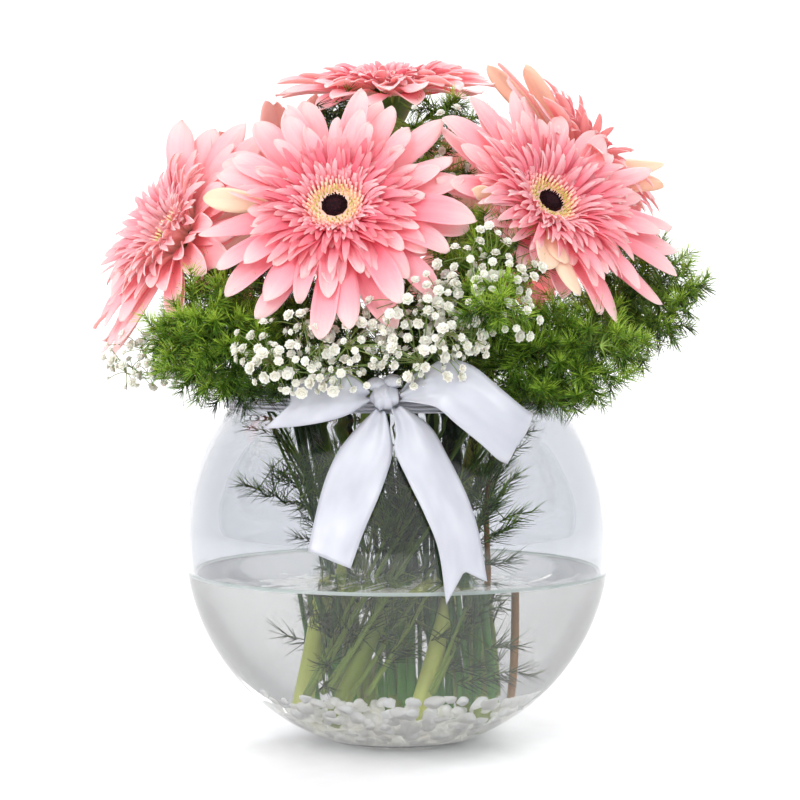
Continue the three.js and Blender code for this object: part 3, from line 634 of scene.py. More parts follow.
def stemMaterial(name, low, middle, high, streak="6f8a35", patch="a6a268"):
    material, tree, shader = newMaterial(name, Roughness=0.45, Specular_IOR_Level=0.4,
                                         Subsurface_Weight=0.1, Subsurface_Scale=0.002)
    colour = addRamp(tree, uvAxis(tree, "Y"), [(0.05, low), (0.4, middle), (0.95, high)])
    streaks = addNoise(tree, 1.0, uvScale=(24, 3, 1))
    colour = addPatches(tree, colour, streaks, 0.4, 0.75, "707070", streak)
    setColour(tree, shader, addPatches(tree, colour, addNoise(tree, 60), 0.5, 0.8, "505050", patch))
    addBump(tree, shader, streaks, 0.3, 0.0004)
    return material


crownStops = [(0.0, "a39c3e"), (0.12, "cdbd60"), (0.26, "f0d99a"), (0.4, "facfba"), (0.62, "f9aeb0"),
              (1.0, "f38c99")]
bloomFinishes = {
    "Petals": [petalMaterial(), petalBackMaterial()],
    "Crown": [speckledMaterial("crownFlorets", crownStops, (900, 2), (0.4, 0.8, "343434", "fbe6c4"),
                               (900, 2), (0.3, 0.0003), Roughness=0.6, Subsurface_Weight=0.1)],
    "Eye": [eyeMaterial()],
    "Stem": [stemMaterial("stemGreen", "a6b954", "52712f", "5f7f34")],
    "paleStem": [stemMaterial("stemPale", "e2e983", "a9bd4a", "7c9840")],
}


def finishPart(key, part, slotName, stock, finish=None, **skin):
    piece = makeObject(key + part, stock, finish or bloomFinishes[part])
    if skin:
        applyModifier(piece, "SOLIDIFY", **skin)
    standsFor(piece, slotName, "bloom_" + key + "_" + part.lower())


def addBlade(stock, template, blade, root, height, azimuth, turn, place, tone):
    # root and height: how far out from the bloom's axis and how high up it the blade starts
    uv, faces = template
    spun = (bladePoints(uv, blade) + (root, 0, height)) @ spinAboutZ(azimuth).T
    addCopy(stock, spun @ turn.T + place, faces, uv, tone)


def curlsOf(bloom, turn, level, azimuths):
    # what is unlike the others about the rays of one ring, by their number in it
    found = {}
    outward = np.array([turn @ (math.cos(a), math.sin(a), 0) for a in azimuths])
    for ring, direction, changes in bloom["curled"]:
        if ring == level:
            found[int(np.argmax(outward @ unit(direction)))] = changes
    return found


def addRayRings(stock, bloom, turn, place, rng):
    longWay, stretch = unit(bloom["long"][:3]), bloom["long"][3]
    shortWay, shrink = unit(bloom["short"][:3]), bloom["short"][3]
    for level, row in enumerate(rayRings):
        ring = dict(zip(ringKeys, row))
        step = 2 * math.pi / ring["count"]
        offset = math.radians(bloom["turn"]) + 0.5 * step * (level % 2)
        azimuths = [offset + step * (i + rng.uniform(-0.3, 0.3)) for i in range(ring["count"])]
        curls = curlsOf(bloom, turn, level, azimuths)
        for i, azimuth in enumerate(azimuths):
            outward = turn @ (math.cos(azimuth), math.sin(azimuth), 0)
            extra = stretch * max(outward @ longWay, 0) ** 2
            length = gerbera["radius"] * bloom["size"] * ring["reach"] * rng.uniform(0.87, 1.0) * (1 + extra)
            length *= 1 - shrink * max(outward @ shortWay, 0) ** 3
            # rays on the low side of the bloom hang, and those on the high side hold up
            hang = bloom["hang"] * outward[2] + 120 * extra
            blade = {
                "length": length - ring["from"] + 2,
                "width": ring["width"] * rng.uniform(0.8, 1.08) * bloom["slim"],
                "rise": ring["rise"] + bloom["lift"] + rng.uniform(-5, 6),
                "droop": ring["droop"] + rng.uniform(-7, 9) - hang,
                "cup": rng.choice((-0.3, -0.15, 0.15, 0.3, 0.42)),
                "groove": rng.uniform(0.25, 0.5),
                "wave": rng.uniform(-1.5, 1.5),
                "phase": rng.random(),
                "twist": rng.uniform(-18, 18),
                "sway": rng.uniform(-0.1, 0.1),
                "blunt": rng.uniform(2.0, 3.3),
                "belly": rng.uniform(0.52, 0.68),
                "root": 0.42,
            }
            # tone: random, paler on rays that point up, which is painted light from above, and paler again
            # for the whole bloom, partly painted light
            tone = 0.48 + 0.34 * outward[2] + rng.uniform(-0.16, 0.25) + bloom["paleAndPaintedLight"]
            tone = min(max(tone, 0.36), 1)
            if i in curls:
                blade.update(curls[i])
                tone = curls[i].get("tone", 2)
            addBlade(stock, grid["ray"], blade, ring["from"], ring["height"], azimuth, turn, place, tone)


def addFringe(stock, bloom, turn, place, rng):
    for row in fringeRings:
        ring = dict(zip(ringKeys, row))
        step = 2 * math.pi / ring["count"]
        for i in range(ring["count"]):
            azimuth = step * (i + rng.uniform(-0.5, 0.5))
            length = gerbera["radius"] * bloom["size"] * ring["reach"] * rng.uniform(0.8, 1.12)
            blade = {
                "length": length * bloom["fringeReach"] - ring["from"] + 3,
                "width": ring["width"] * rng.uniform(0.8, 1.15),
                "rise": ring["rise"] + bloom["fringeLift"] + rng.uniform(-13, 13),
                "droop": ring["droop"] + rng.uniform(-24, 26),
                "cup": rng.uniform(0.1, 0.6),
                "twist": rng.uniform(-42, 42),
                "sway": rng.uniform(-0.2, 0.2),
                "belly": 0.55,
                "root": 0.5,
                "blunt": 2.0,
            }
            # the fringe drawn paler with its bloom, partly painted light
            tone = max(ring["tone"] + rng.uniform(-0.12, 0.16), 0) + bloom["paleAndPaintedLight"]
            addBlade(stock, grid["floret"], blade, ring["from"], ring["height"], azimuth, turn, place, tone)


def makePetals(key, bloom, turn, place, rng):
    stock = newStock()
    addRayRings(stock, bloom, turn, place, rng)
    addFringe(stock, bloom, turn, place, rng)
    finishPart(key, "Petals", "petal", stock, thickness=gerbera["petalThickness"] * mm, offset=-1.0,
               material_offset=1)


def makeCrown(key, turn, place, rng):
    stock = newStock()
    points, faces = grid["tube"]
    count = gerbera["crownFlorets"]
    inner, outer = gerbera["eyeRadius"] + 0.5, gerbera["crownRadius"]
    (shortest, taller), (thinnest, thicker) = gerbera["floretHeight"], gerbera["floretRadius"]
    for i in range(count):
        share = (i + 0.5) / count
        radius = math.sqrt(inner ** 2 + (outer ** 2 - inner ** 2) * share)
        azimuth = i * goldenAngle
        lean = 0.1 + 0.5 * share + rng.uniform(-0.12, 0.12)
        direction = unit((math.cos(azimuth) * lean, math.sin(azimuth) * lean, 1))
        height = shortest + taller * share ** 0.8 * rng.uniform(0.7, 1.15)
        thick = thinnest + thicker * share
        base = np.array([radius * math.cos(azimuth), radius * math.sin(azimuth), 0.3])
        tube = points * (thick, thick, height) @ turnedTo(direction, rng.uniform(0, 2)).T + base
        addCopy(stock, tube @ turn.T + place, faces, None, min(share * 1.05 + rng.uniform(-0.1, 0.1), 1))
    # the low cushion that the florets stand on
    ballPoints, ballFaces = grid["stone"]
    cushion = ballPoints * (outer, outer, 1.8) + (0, 0, 0.4)
    addCopy(stock, cushion @ turn.T + place, ballFaces, None, 0.45)
    finishPart(key, "Crown", "crown", stock)


def makeEye(key, turn, place, rng):
    # a low dome, set with buds
    stock = newStock()
    ballPoints, ballFaces = grid["stone"]
    radius = gerbera["eyeRadius"]
    addCopy(stock, (ballPoints * (radius, radius, 1.6) + (0, 0, 2.2)) @ turn.T + place, ballFaces)
    points, faces = grid["ball"]
    for i in range(gerbera["eyeBuds"]):
        share = math.sqrt((i + 0.5) / gerbera["eyeBuds"])
        at = np.array([math.cos(i * goldenAngle), math.sin(i * goldenAngle), 0]) * share * (radius - 0.4)
        at[2] = 3.5 - 0.9 * (1 - share) + rng.uniform(-0.2, 0.2)
        bud = points * gerbera["budSize"] * rng.uniform(0.8, 1.2) + at
        addCopy(stock, bud @ turn.T + place, faces)
    finishPart(key, "Eye", "eye", stock)


def addCalyx(stock, turn, place, rng):
    def radiusAt(share):
        return gerbera["stemRadius"] + (gerbera["calyxRadius"] - gerbera["stemRadius"]) * np.sin(share * 1.45)

    depth = gerbera["hubDepth"] + gerbera["calyxDepth"]
    heights = np.linspace(0, 1, 9)
    path = np.stack([heights * 0, heights * 0, -depth + heights * (depth - 1.5)], axis=1)
    addTube(stock, path @ turn.T + place, radiusAt(heights), 20, 0.3)
    for row, (low, reach) in enumerate(gerbera["bractRows"]):
        for i in range(gerbera["bracts"]):
            azimuth = 2 * math.pi * (i + 0.5 * (row % 2)) / gerbera["bracts"] + rng.uniform(-0.06, 0.06)
            blade = {"length": reach, "width": gerbera["bractWidth"], "rise": 62 + 6 * row, "droop": -58,
                     "belly": 0.3, "cup": 0.2}
            addBlade(stock, grid["bract"], blade, radiusAt(low) - 0.3, -depth + low * (depth - 1.5),
                     azimuth, turn, place, 0.6)


def makeStem(key, bloom, turn, place, rng):
    foot, neck = stemFootAndNeck("bloom_" + key + "_stem")
    depth = gerbera["hubDepth"] + gerbera["calyxDepth"]
    below = [turn @ (0, 0, -d) + place for d in (depth + 26, depth - 4)]
    path = smoothPath([foot, (foot + neck) / 2, neck] + below, 48)
    lengths = np.linspace(0, 1, 48)
    radii = gerbera["stemRadius"] * (1 + 0.1 * np.exp(-lengths * 14) + 0.02 * np.sin(lengths * 31))
    stock = newStock()
    addTube(stock, path, radii, 20, 0.5, ribs=0.02)
    addCalyx(stock, turn, place, rng)
    finishPart(key, "Stem", "stem", stock, bloomFinishes["paleStem" if bloom["paleStem"] else "Stem"])


for number, (key, changes) in enumerate(blooms.items()):
    draws = random.Random(100 + number)
    bloom = {**plainBloom, **changes}
    turn, place = turnedTo(unit(bloom["facing"])), np.array(bloom["at"], dtype=float)
    makeStem(key, bloom, turn, place, draws)
    makePetals(key, bloom, turn, place, draws)
    makeCrown(key, turn, place, draws)
    makeEye(key, turn, place, draws)
print("gerberas are made")


# bowl, water and pebbles

waterSettings = {"level": 74, "meniscus": 1.1, "intoGlass": 0.15, "edge": 2.4, "line": 0.5}
pebbleSettings = {"count": 760, "spread": 68, "smallest": 3.0, "largest": 5.8, "top": 31, "cuts": 8,
                  "cutDepth": (0.35, 0.7)}


def glassMaterial(name, tint, ior, waviness):
    material, tree, shader = newMaterial(name, Base_Color=linear(tint), Roughness=0.0, IOR=ior,
                                         Transmission_Weight=1.0)
    addBump(tree, shader, addNoise(tree, 14, 2), waviness, 0.002)
    # light reaches what stands inside without a caustic
    clear = addNode(tree, "BsdfTransparent", {"Color": linear("fbfcfc")})
    mixSurface(tree, addNode(tree, "LightPath").outputs["Is Shadow Ray"], shader, clear)
    return material


def waterlineHighlightMaterial():
    # painted highlight: the meniscus is drawn in a pale, partly opaque colour, a light line all round the
    # glass
    material, tree, shader = newMaterial("waterlinePaintedHighlight", Roughness=0.25, IOR=1.333, Transmission_Weight=0.3)
    setColour(tree, shader, addRamp(tree, addNoise(tree, 60), [(0.3, "cfe0d8"), (0.7, "f6faf8")]))
    return material


def spinProfile(name, profile, steps):
    # a profile of (radius, height) that starts and ends on the axis, spun round it and closed
    mesh = bpy.data.meshes.new(name)
    points = [(r * mm, 0, (z + lift) * mm) for r, z in profile]
    mesh.from_pydata(points, [(i, i + 1) for i in range(len(points) - 1)], [])
    thing = bpy.data.objects.new(name, mesh)
    bpy.context.collection.objects.link(thing)
    makeActive(thing)
    bpy.ops.object.mode_set(mode="EDIT")
    bpy.ops.mesh.select_all(action="SELECT")
    bpy.ops.mesh.spin(steps=steps, angle=2 * math.pi, center=(0, 0, 0), axis=(0, 0, 1))
    bpy.ops.mesh.select_all(action="SELECT")
    bpy.ops.mesh.remove_doubles(threshold=0.00002)
    bpy.ops.mesh.normals_make_consistent(inside=False)
    bpy.ops.object.mode_set(mode="OBJECT")
    bpy.ops.object.shade_smooth()
    return thing


def widthAt(radius, height):
    # how far a ball that sits where the bowl does reaches from the axis at a height
    return math.sqrt(max(radius ** 2 - (height - bowl["centre"]) ** 2, 0))


def wallProfile(radius, low, high, count):
    angles = [math.asin((height - bowl["centre"]) / radius) for height in (low, high)]
    spread = np.linspace(angles[0], angles[1], count)
    return [(radius * math.cos(a), bowl["centre"] + radius * math.sin(a)) for a in spread]


def makeBowl():
    inner = bowl["radius"] - bowl["wall"]
    under = -lift
    foot = [(0, under + 1.2), (18, under + 1.0), (22, under + 0.4), (24, under), (26.4, under),
            (28, under + 0.25)]
    outside = wallProfile(bowl["radius"], under + 0.7, bowl["shoulder"], 48)
    neck = [(78.6, 151), (77.3, 153.6), (77.0, 155.6), (77.6, 157.8), (78.7, 159.6), (79.6, 160.7)]
    lip = [(79.9, 161.3), (79.6, 161.8), (78.9, 162), (77.9, 161.9), (77.0, 161.3)]
    throat = [(75.6, 159.4), (74.6, 157.4), (74.1, 155.6), (74.4, 153.4), (75.8, 150.8)]
    inside = wallProfile(inner, bowl["floor"] + 0.9, bowl["shoulder"] - 0.4, 48)[::-1]
    floor = [(32, bowl["floor"] + 0.4), (26, bowl["floor"] + 0.1), (14, bowl["floor"]), (0, bowl["floor"])]
    controls = [np.array([r, 0, z]) for r, z in outside[-2:] + neck + lip + throat + inside[:2]]
    rim = [(p[0], p[2]) for p in smoothPath(controls, 60)][1:-1]
    profile = foot + outside[:-2] + rim + inside[2:] + floor
    glass = spinProfile("bowlGlass", profile, 128)
    glass.data.materials.append(glassMaterial("clearGlass", "dadcdf", 1.5, 0.03))
    standsFor(glass, "glass", "glass_bowl")


def makeWater():
    inner = bowl["radius"] - bowl["wall"] + waterSettings["intoGlass"]
    level, meniscus = waterSettings["level"], waterSettings["meniscus"]
    side = wallProfile(inner, bowl["floor"] + 1.1, level - waterSettings["line"], 43)
    side += wallProfile(inner, level - waterSettings["line"], level + meniscus, 4)[1:]
    edge = side[-1][0]
    drops = [(0.35, 0.62), (1.0, 0.34), (2.0, 0.14), (3.6, 0.03), (6.0, 0.0)]
    surface = [(edge - inward, level + meniscus * share) for inward, share in drops]
    bottom = [(0, bowl["floor"] - 0.1), (30, bowl["floor"] + 0.1)]
    profile = bottom + side + surface + [(edge * 0.5, level), (0, level)]
    water = spinProfile("bowlWater", profile, 128)
    water.data.materials.append(glassMaterial("stillWater", "f4f1ea", 1.333, 0.05))
    water.data.materials.append(waterlineHighlightMaterial())
    # painted highlight: the faces of the meniscus near the glass take the pale waterline colour
    for face in water.data.polygons:
        middle = face.center / mm
        atWall = math.hypot(middle.x, middle.y) > edge - waterSettings["edge"]
        if atWall and middle.z - lift > level - waterSettings["line"]:
            face.material_index = 1
    standsFor(water, "water", "water")


def pebbleMaterial():
    # painted glow: a weak emission in the stone colour lifts the pebbles, which sit dim under the glass and
    # water
    material, tree, shader = newMaterial("pebbleStone", Roughness=0.35, Emission_Strength=0.14)
    clouds = addNoise(tree, 120, 5, 0.65)
    colour = addRamp(tree, clouds, [(0.25, "eeeae4"), (0.45, "fbfaf8"), (0.62, "ffffff"), (0.8, "f8f6f2")])
    setColour(tree, shader, addPatches(tree, colour, toneOf(tree), 0.4, 1.0, "707070", "d8cbb6"), paintedGlow=True)
    addBump(tree, shader, addNoise(tree, 900, 4), 0.35, 0.0004)
    return material


def makePebbles():
    draws = random.Random(11)
    stock = newStock()
    points, faces = grid["stone"]
    inner = bowl["radius"] - bowl["wall"]
    for _ in range(pebbleSettings["count"]):
        size = draws.uniform(pebbleSettings["smallest"], pebbleSettings["largest"])
        share = math.sqrt(draws.random())
        room = pebbleSettings["top"] - bowl["floor"] - 1.4 * size
        height = bowl["floor"] + size * 0.7 + draws.random() * room - 3.0 * share * draws.random()
        limit = widthAt(inner, max(height - 0.6 * size, bowl["floor"] + 1)) - size
        radius = min(pebbleSettings["spread"], limit) * share
        angle = draws.uniform(0, 2 * math.pi)
        # a chip: a ball flattened on a few sides
        chip = points * (draws.uniform(0.85, 1.2), draws.uniform(0.7, 1.0), draws.uniform(0.55, 0.85))
        for _ in range(pebbleSettings["cuts"]):
            side = unit(scatter(draws))
            depth = draws.uniform(*pebbleSettings["cutDepth"])
            beyond = np.clip(chip @ side - depth, 0, None)
            chip = chip - np.outer(beyond * 0.92, side)
        chip = size * chip @ turnedTo(unit([draws.gauss(0, 0.5), draws.gauss(0, 0.5), 1]), angle).T
        place = (radius * math.cos(angle), radius * math.sin(angle), max(height, bowl["floor"] + 0.75 * size))
        addCopy(stock, chip + place, faces, None, draws.random())
    pebbles = makeObject("pebbleBed", stock, [pebbleMaterial()])
    standsFor(pebbles, "pebble", "pebbles")


makeBowl()
makeWater()
makePebbles()
print("bowl, water and pebbles are made")


# ribbon

ribbon = {"width": 25, "thickness": 0.3, "columns": 14, "rowsPerSpan": 8, "foldAllowance": 1.08}
bandSettings = {"low": 150.9, "high": 157.9, "radius": 80.7, "taper": 1.7, "fold": 0.65, "pleats": 25,
                "steps": 160, "length": 500}
# puffs: the side and height of the two small puffs above the knot
knotSettings = {"at": (-5.5, -84.2, 158), "radii": (6.4, 4.5, 5.5), "puffs": ((-1, 5.6), (1, 6.8)),
                "puffRadii": (4.2, 3.2, 3.0), "puffsAt": (-5.5, -83.6, 158), "puffsApart": 3.6}


def satinMaterial():
    material, tree, shader = newMaterial(
        "satinRibbon", Roughness=0.24, Specular_IOR_Level=1.0, Anisotropic=0.4,
        Sheen_Weight=0.1, Sheen_Roughness=0.4, Subsurface_Weight=0.05, Subsurface_Scale=0.002,
    )
    # painted shade: the base colour goes in soft blotches from a darker to a lighter grey-lilac, standing in
    # for the satin's shading
    paintedSatinShade = addNoise(tree, 1.0, 2, uvScale=(2, 3, 1))
    setColour(tree, shader, addRamp(tree, paintedSatinShade, [(0.3, "b0b2bc"), (0.75, "c4c6ce")]))
    inputs = {"Vector": scaledUv(tree, (1, 130, 1)), "Scale": 1.0, "Distortion": 0.6}
    threads = addNode(tree, "TexWave", inputs, wave_type="BANDS", bands_direction="Y").outputs["Fac"]
    creases = addNoise(tree, 1.0, 4, uvScale=(2.5, 30, 1))
    addBump(tree, shader, addMix(tree, 0.5, threads, creases), 0.22, 0.0003)
    return material


satin = satinMaterial()


def onBowlFront(x, z, off):
    height = max(z, bowl["centre"]) - bowl["centre"]
    return -math.sqrt(max((bowl["radius"] + off) ** 2 - height ** 2 - x ** 2, 0))


def hangingEdges(left, right, off):
    # edge points of a tail that hangs down the front of the bowl, as the solids have them
    edges = []
    for i, ends in enumerate(zip(left, right)):
        stand = off + 4 * 0.45 ** i
        edges.append([(x, onBowlFront(x, z, stand), z) for x, z in ends])
    return edges


def gridFaces(rows, columns):
    cell = np.arange((rows - 1) * columns).reshape(rows - 1, columns)[:, :-1].ravel()
    a, b, c, d = cell, cell + 1, cell + columns + 1, cell + columns
    return np.concatenate([np.stack([a, b, c], axis=1), np.stack([a, c, d], axis=1)])


def ribbonPoints(edges, notch=0.0, bow=0.0, folds=0.0, phase=0.0):
    # notch: how far the end is cut in. bow: how it arches across. folds and phase: its ripples near the knot
    rows, columns, fine = (len(edges) - 1) * ribbon["rowsPerSpan"] + 1, ribbon["columns"], 400
    first, second = [smoothPath([edge[side] for edge in edges], fine) for side in (0, 1)]
    across = np.linspace(0, 1, columns)
    along = np.linspace(0, 1, rows)
    points = np.empty((rows, columns, 3))
    for j, v in enumerate(across):
        reach = 1 - notch * (1 - abs(2 * v - 1))
        line = first * (1 - v) + second * v
        for k in range(3):
            points[:, j, k] = np.interp(along * reach, np.linspace(0, 1, fine), line[:, k])
    normal = np.cross(np.gradient(points, axis=0), np.gradient(points, axis=1))
    normal /= np.linalg.norm(normal, axis=2)[:, :, None] + 1e-9
    crown = bow * (1 - (2 * across - 1) ** 2)[None, :]
    arch = crown * np.sin(np.pi * np.clip(along, 0, 0.92))[:, None] ** 0.5
    ripple = folds * np.sin(2 * np.pi * (across[None, :] * 1.4 + phase + 0.25 * along[:, None]))
    points = points + normal * (arch + ripple * np.exp(-along * 2.2)[:, None])[:, :, None]
    uv = np.stack(np.meshgrid(across, along), axis=2).reshape(-1, 2)
    return points.reshape(-1, 3), gridFaces(rows, columns), uv


def makeRibbonSheet(name, node, edges, held, **shape):
    points, faces, uv = ribbonPoints(edges, **shape)
    stock = newStock()
    addCopy(stock, points, faces, uv)
    sheet = makeObject(name, stock, [satin])
    applyModifier(sheet, "SOLIDIFY", thickness=ribbon["thickness"] * mm, offset=0)
    standsFor(sheet, "ribbon", node)


tailLeft = hangingEdges(
    [(-9.5, 152.75), (-19, 143), (-25.5, 134.4), (-30.9, 122.4), (-35.4, 105.5), (-38.1, 92.5)],
    [(-5, 151.55), (-3, 143.5), (-1.9, 135), (-6.6, 119.3), (-14.1, 101.6), (-19.8, 85.6)],
    1.6,
)
tailRight = hangingEdges(
    [(-2.6, 153), (-0.6, 143.5), (-1.2, 136), (4.2, 123.7), (11.7, 108.6), (17.2, 94.8), (20.9, 70.4)],
    [(3, 154.2), (14.5, 145.5), (21, 134.4), (30, 116), (34.6, 101.6), (36.6, 91), (38.5, 79.5)],
    3.2,
)
endLeft = [
    [(-12.5, -84.4, 160.5), (-12.5, -84.8, 156)],
    [(-19, -87, 167), (-19, -91.5, 151.8)],
    [(-27, -86, 169), (-26.5, -93, 149)],
    [(-38, -84, 166.5), (-40, -91, 146.2)],
    [(-46, -82, 163), (-58, -84, 144.3)],
]
loopRight = [
    [(1.6, -85.8, 160.5), (1.6, -86.2, 156.5)],
    [(10, -89, 169), (10, -91, 155.5)],
    [(20, -90.5, 174.5), (17, -95, 153.8)],
    [(31, -90.5, 172.5), (25, -97, 147)],
    [(45, -91, 161.5), (36, -96, 138)],
    [(54.5, -88.5, 153.6), (43, -93.5, 131.6)],
    [(59, -83, 150.8), (47, -88, 129.8)],
    [(57.5, -77.5, 151.6), (46, -83.6, 131)],
    [(51, -76.5, 155.5), (40.5, -82.8, 135)],
    [(38, -79.5, 163.5), (30.5, -84.4, 143)],
    [(24, -83.5, 171), (20, -87, 152)],
    [(8, -83.8, 168.5), (8, -85.5, 158.5)],
    [(1.8, -83.2, 161), (1.8, -83.4, 157.5)],
]


def makeBand():
    # the ribbon round the neck, drawn together into pleats that run round it
    steps, pleats = bandSettings["steps"], bandSettings["pleats"]
    low, high = bandSettings["low"], bandSettings["high"]
    rows = []
    for i in range(steps):
        angle = 2 * math.pi * i / steps
        ring = []
        for j, height in enumerate(np.linspace(low, high, pleats)):
            swirl = j * math.pi / 3 + 0.5 * math.sin(3 * angle) + 0.8 * math.sin(7 * angle + j)
            radius = bandSettings["radius"] - bandSettings["taper"] * (height - low) / (high - low)
            radius += bandSettings["fold"] * math.sin(swirl)
            ring.append((radius * math.cos(angle), radius * math.sin(angle), height))
        rows.append(ring)
    rows.append(rows[0])
    points, faces = np.array(rows).reshape(-1, 3), gridFaces(steps + 1, pleats)
    across, along = np.meshgrid(np.linspace(0, 1, pleats), np.linspace(0, 20, steps + 1))
    stock = newStock()
    addCopy(stock, points, faces, np.stack([across, along], axis=2).reshape(-1, 2))
    band = makeObject("ribbonBand", stock, [satin])
    applyModifier(band, "WELD", merge_threshold=0.00001)
    applyModifier(band, "SOLIDIFY", thickness=ribbon["thickness"] * mm, offset=0)
    standsFor(band, "ribbon", "ribbon_band")


def makeKnot():
    # the knot: a fold of ribbon drawn tight over itself, with two small puffs above it
    deselectAll()
    bpy.ops.mesh.primitive_uv_sphere_add(segments=40, ring_count=24, radius=1, location=(0, 0, 0))
    points, faces = takeTemplate()
    stock = newStock()
    pleats = 1 + 0.07 * np.sin(9 * points[:, 0] + 2 * points[:, 2]) + 0.04 * np.sin(17 * points[:, 0])
    body = points * np.array(knotSettings["radii"]) * pleats[:, None] + knotSettings["at"]
    uv = np.stack([points[:, 0] / 2 + 0.5, np.arctan2(points[:, 2], points[:, 0]) / math.pi], axis=1)
    addCopy(stock, body, faces, uv)
    x, y, z = knotSettings["puffsAt"]
    for side, above in knotSettings["puffs"]:
        puff = points * knotSettings["puffRadii"] * (1 + 0.06 * np.sin(8 * points[:, 1] + side))[:, None]
        addCopy(stock, puff + (x + side * knotSettings["puffsApart"], y, z + above), faces, uv)
    standsFor(makeObject("ribbonKnot", stock, [satin]), "ribbon", "ribbon_knot")


makeBand()
makeKnot()
makeRibbonSheet("ribbonTailLeft", "ribbon_tail_left", tailLeft, "hung", bow=1.5, folds=1.0)
makeRibbonSheet("ribbonTailRight", "ribbon_tail_right", tailRight, "hung", notch=0.11, bow=1.4, folds=1.0,
                phase=0.3)
makeRibbonSheet("ribbonEndLeft", "ribbon_end_left", endLeft, "folded", notch=0.16, bow=1.6, folds=1.4,
                phase=0.1)
makeRibbonSheet("ribbonLoopRight", "ribbon_loop_right", loopRight, "folded", bow=-0.8, folds=1.0, phase=0.2)
print("ribbon is made")


# fern

# plume, apart and whorl: the length of a side shoot, how far shoots stand apart, and needles in one whorl
# rimReach and rimHeight: how far out and how high the stems cross the rim. plumesAbove and innerBelow: the
# heights on the stem above which the plumes grow, and below which the sparse shoots inside the bowl do
fernSettings = {"needle": (6.5, 10.5), "needleRadius": 0.23, "needles": 64, "plume": (9, 15), "apart": 6.4,
                "stemRadius": 1.1, "whorlGap": 5.0, "whorl": 5, "rimReach": 72, "rimHeight": 171,
                "plumesAbove": 160, "innerBelow": 140, "innerApart": 7, "innerNeedles": 30,
                "innerRadius": 0.24}
# each frond's clouds of plumes: middle, half sizes, how many plumes and how light they are, which is painted
# light and shade: low for clouds that sit in shade behind the blooms, high for those out in the light
# wisps: the same for the sparse shoots inside the bowl, which are drawn dark as painted shade
fronds = {
    "front_left": {"tip": (-88, -69, 183), "clouds": [
        ((-79, -72, 184), (28, 15, 25), 76, 0.55), ((-40, -60, 178), (26, 14, 16), 28, 0.15),
        ((-55, -44, 206), (24, 14, 18), 26, 0.08), ((-60, -69, 161), (22, 9, 6), 13, 0.2),
        ((-88, -46, 208), (14, 12, 10), 12, 0.2)],
        "wisps": [((-50, -36, 124), (20, 16, 22), 18), ((-30, -26, 52), (18, 18, 20), 8)],
        "uprights": [((-58, -28), (-34, 0)), 30, 7]},
    "front_right": {"tip": (39, -92, 207), "clouds": [
        ((38, -72, 214), (25, 12, 24), 48, 0.5), ((5, -60, 184), (32, 14, 22), 46, 0.15),
        ((40, -101, 199), (12, 10, 11), 10, 0.6)],
        "wisps": [((-4, -40, 112), (26, 14, 34), 40), ((6, -30, 52), (20, 16, 20), 6)],
        "uprights": [((-10, 33), (-36, 6)), 4, 26]},
    "right_low": {"tip": (88, -79, 180), "clouds": [
        ((74, -66, 178), (34, 15, 24), 86, 0.55), ((48, -56, 184), (24, 14, 22), 28, 0.15),
        ((66, -69, 160), (22, 9, 7), 18, 0.4)],
        "wisps": [((42, -36, 112), (11, 12, 36), 22), ((30, -20, 52), (13, 14, 20), 5)],
        "twigs": [[(42, -8, 25), (42.5, -8, 70), (42, -11, 112)]]},
    "right": {"tip": (136, -34, 200), "clouds": [((115, -24, 203), (26, 18, 23), 56, 0.42)],
              "wisps": [((42, 0, 124), (12, 14, 22), 6)]},
    "right_rear": {"tip": (118, 43, 190), "clouds": [((104, 40, 190), (26, 26, 22), 48, 0.5)],
                   "wisps": [((30, 20, 110), (20, 16, 34), 18)]},
    "rear": {"tip": (42, 115, 180), "clouds": [((32, 98, 182), (36, 17, 22), 50, 0.5)],
             "wisps": [((0, 34, 110), (26, 14, 34), 24)]},
    "rear_left": {"tip": (-59, 102, 184), "clouds": [((-52, 88, 184), (32, 20, 22), 48, 0.5)],
                  "wisps": [((-26, 20, 110), (22, 16, 34), 20)]},
    "left": {"tip": (-112, 20, 178), "clouds": [((-94, 16, 181), (24, 32, 22), 48, 0.45)],
             "wisps": [((-52, -4, 122), (16, 18, 24), 10)]},
    "top": {"tip": (8, -14, 280), "clouds": [
        ((8, -14, 258), (24, 22, 26), 40, 0.4), ((24, -16, 288), (15, 10, 9), 10, 0.45),
        ((-30, -6, 286), (13, 9, 9), 9, 0.2)]},
}


fernStops = [(0.0, "14260b"), (0.3, "2f4e12"), (0.65, "5a8318"), (1.0, "a2c640")]
fernFinish = [
    speckledMaterial("fernGreen", fernStops, (70, 3), (0.4, 0.75, "707070", "2c5312"), (1500, 2),
                     (0.2, 0.0002), Roughness=0.5, Specular_IOR_Level=0.35, Subsurface_Weight=0.08),
    stemMaterial("fernStem", "92ad4c", "5f7a30", "4f6f22"),
    # the middle stems darken towards the top: painted shade under the blooms
    stemMaterial("darkStemPaintedShade", "68ab44", "31522a", "1d3019", "3f7030", "52803e"),
    stemMaterial("brownTwig", "bd8440", "8f6632", "4e4828", "a06c30", "c29a5c"),
]


def sideways(direction, rng):
    # a random way at right angles to a direction
    around = scatter(rng)
    return unit(around - direction * (around @ direction))


def addNeedle(stock, start, direction, length, radius, tone, rng):
    points, faces = grid["needle"]
    blade = points * (radius, radius, length)
    blade[:, 0] += 0.1 * length * rng.uniform(-1, 1) * (points[:, 2] ** 2)
    placed = blade @ turnedTo(direction, rng.uniform(0, 6)).T + start
    addCopy(stock, placed, faces, None, tone + 0.15 * points[:, 2])


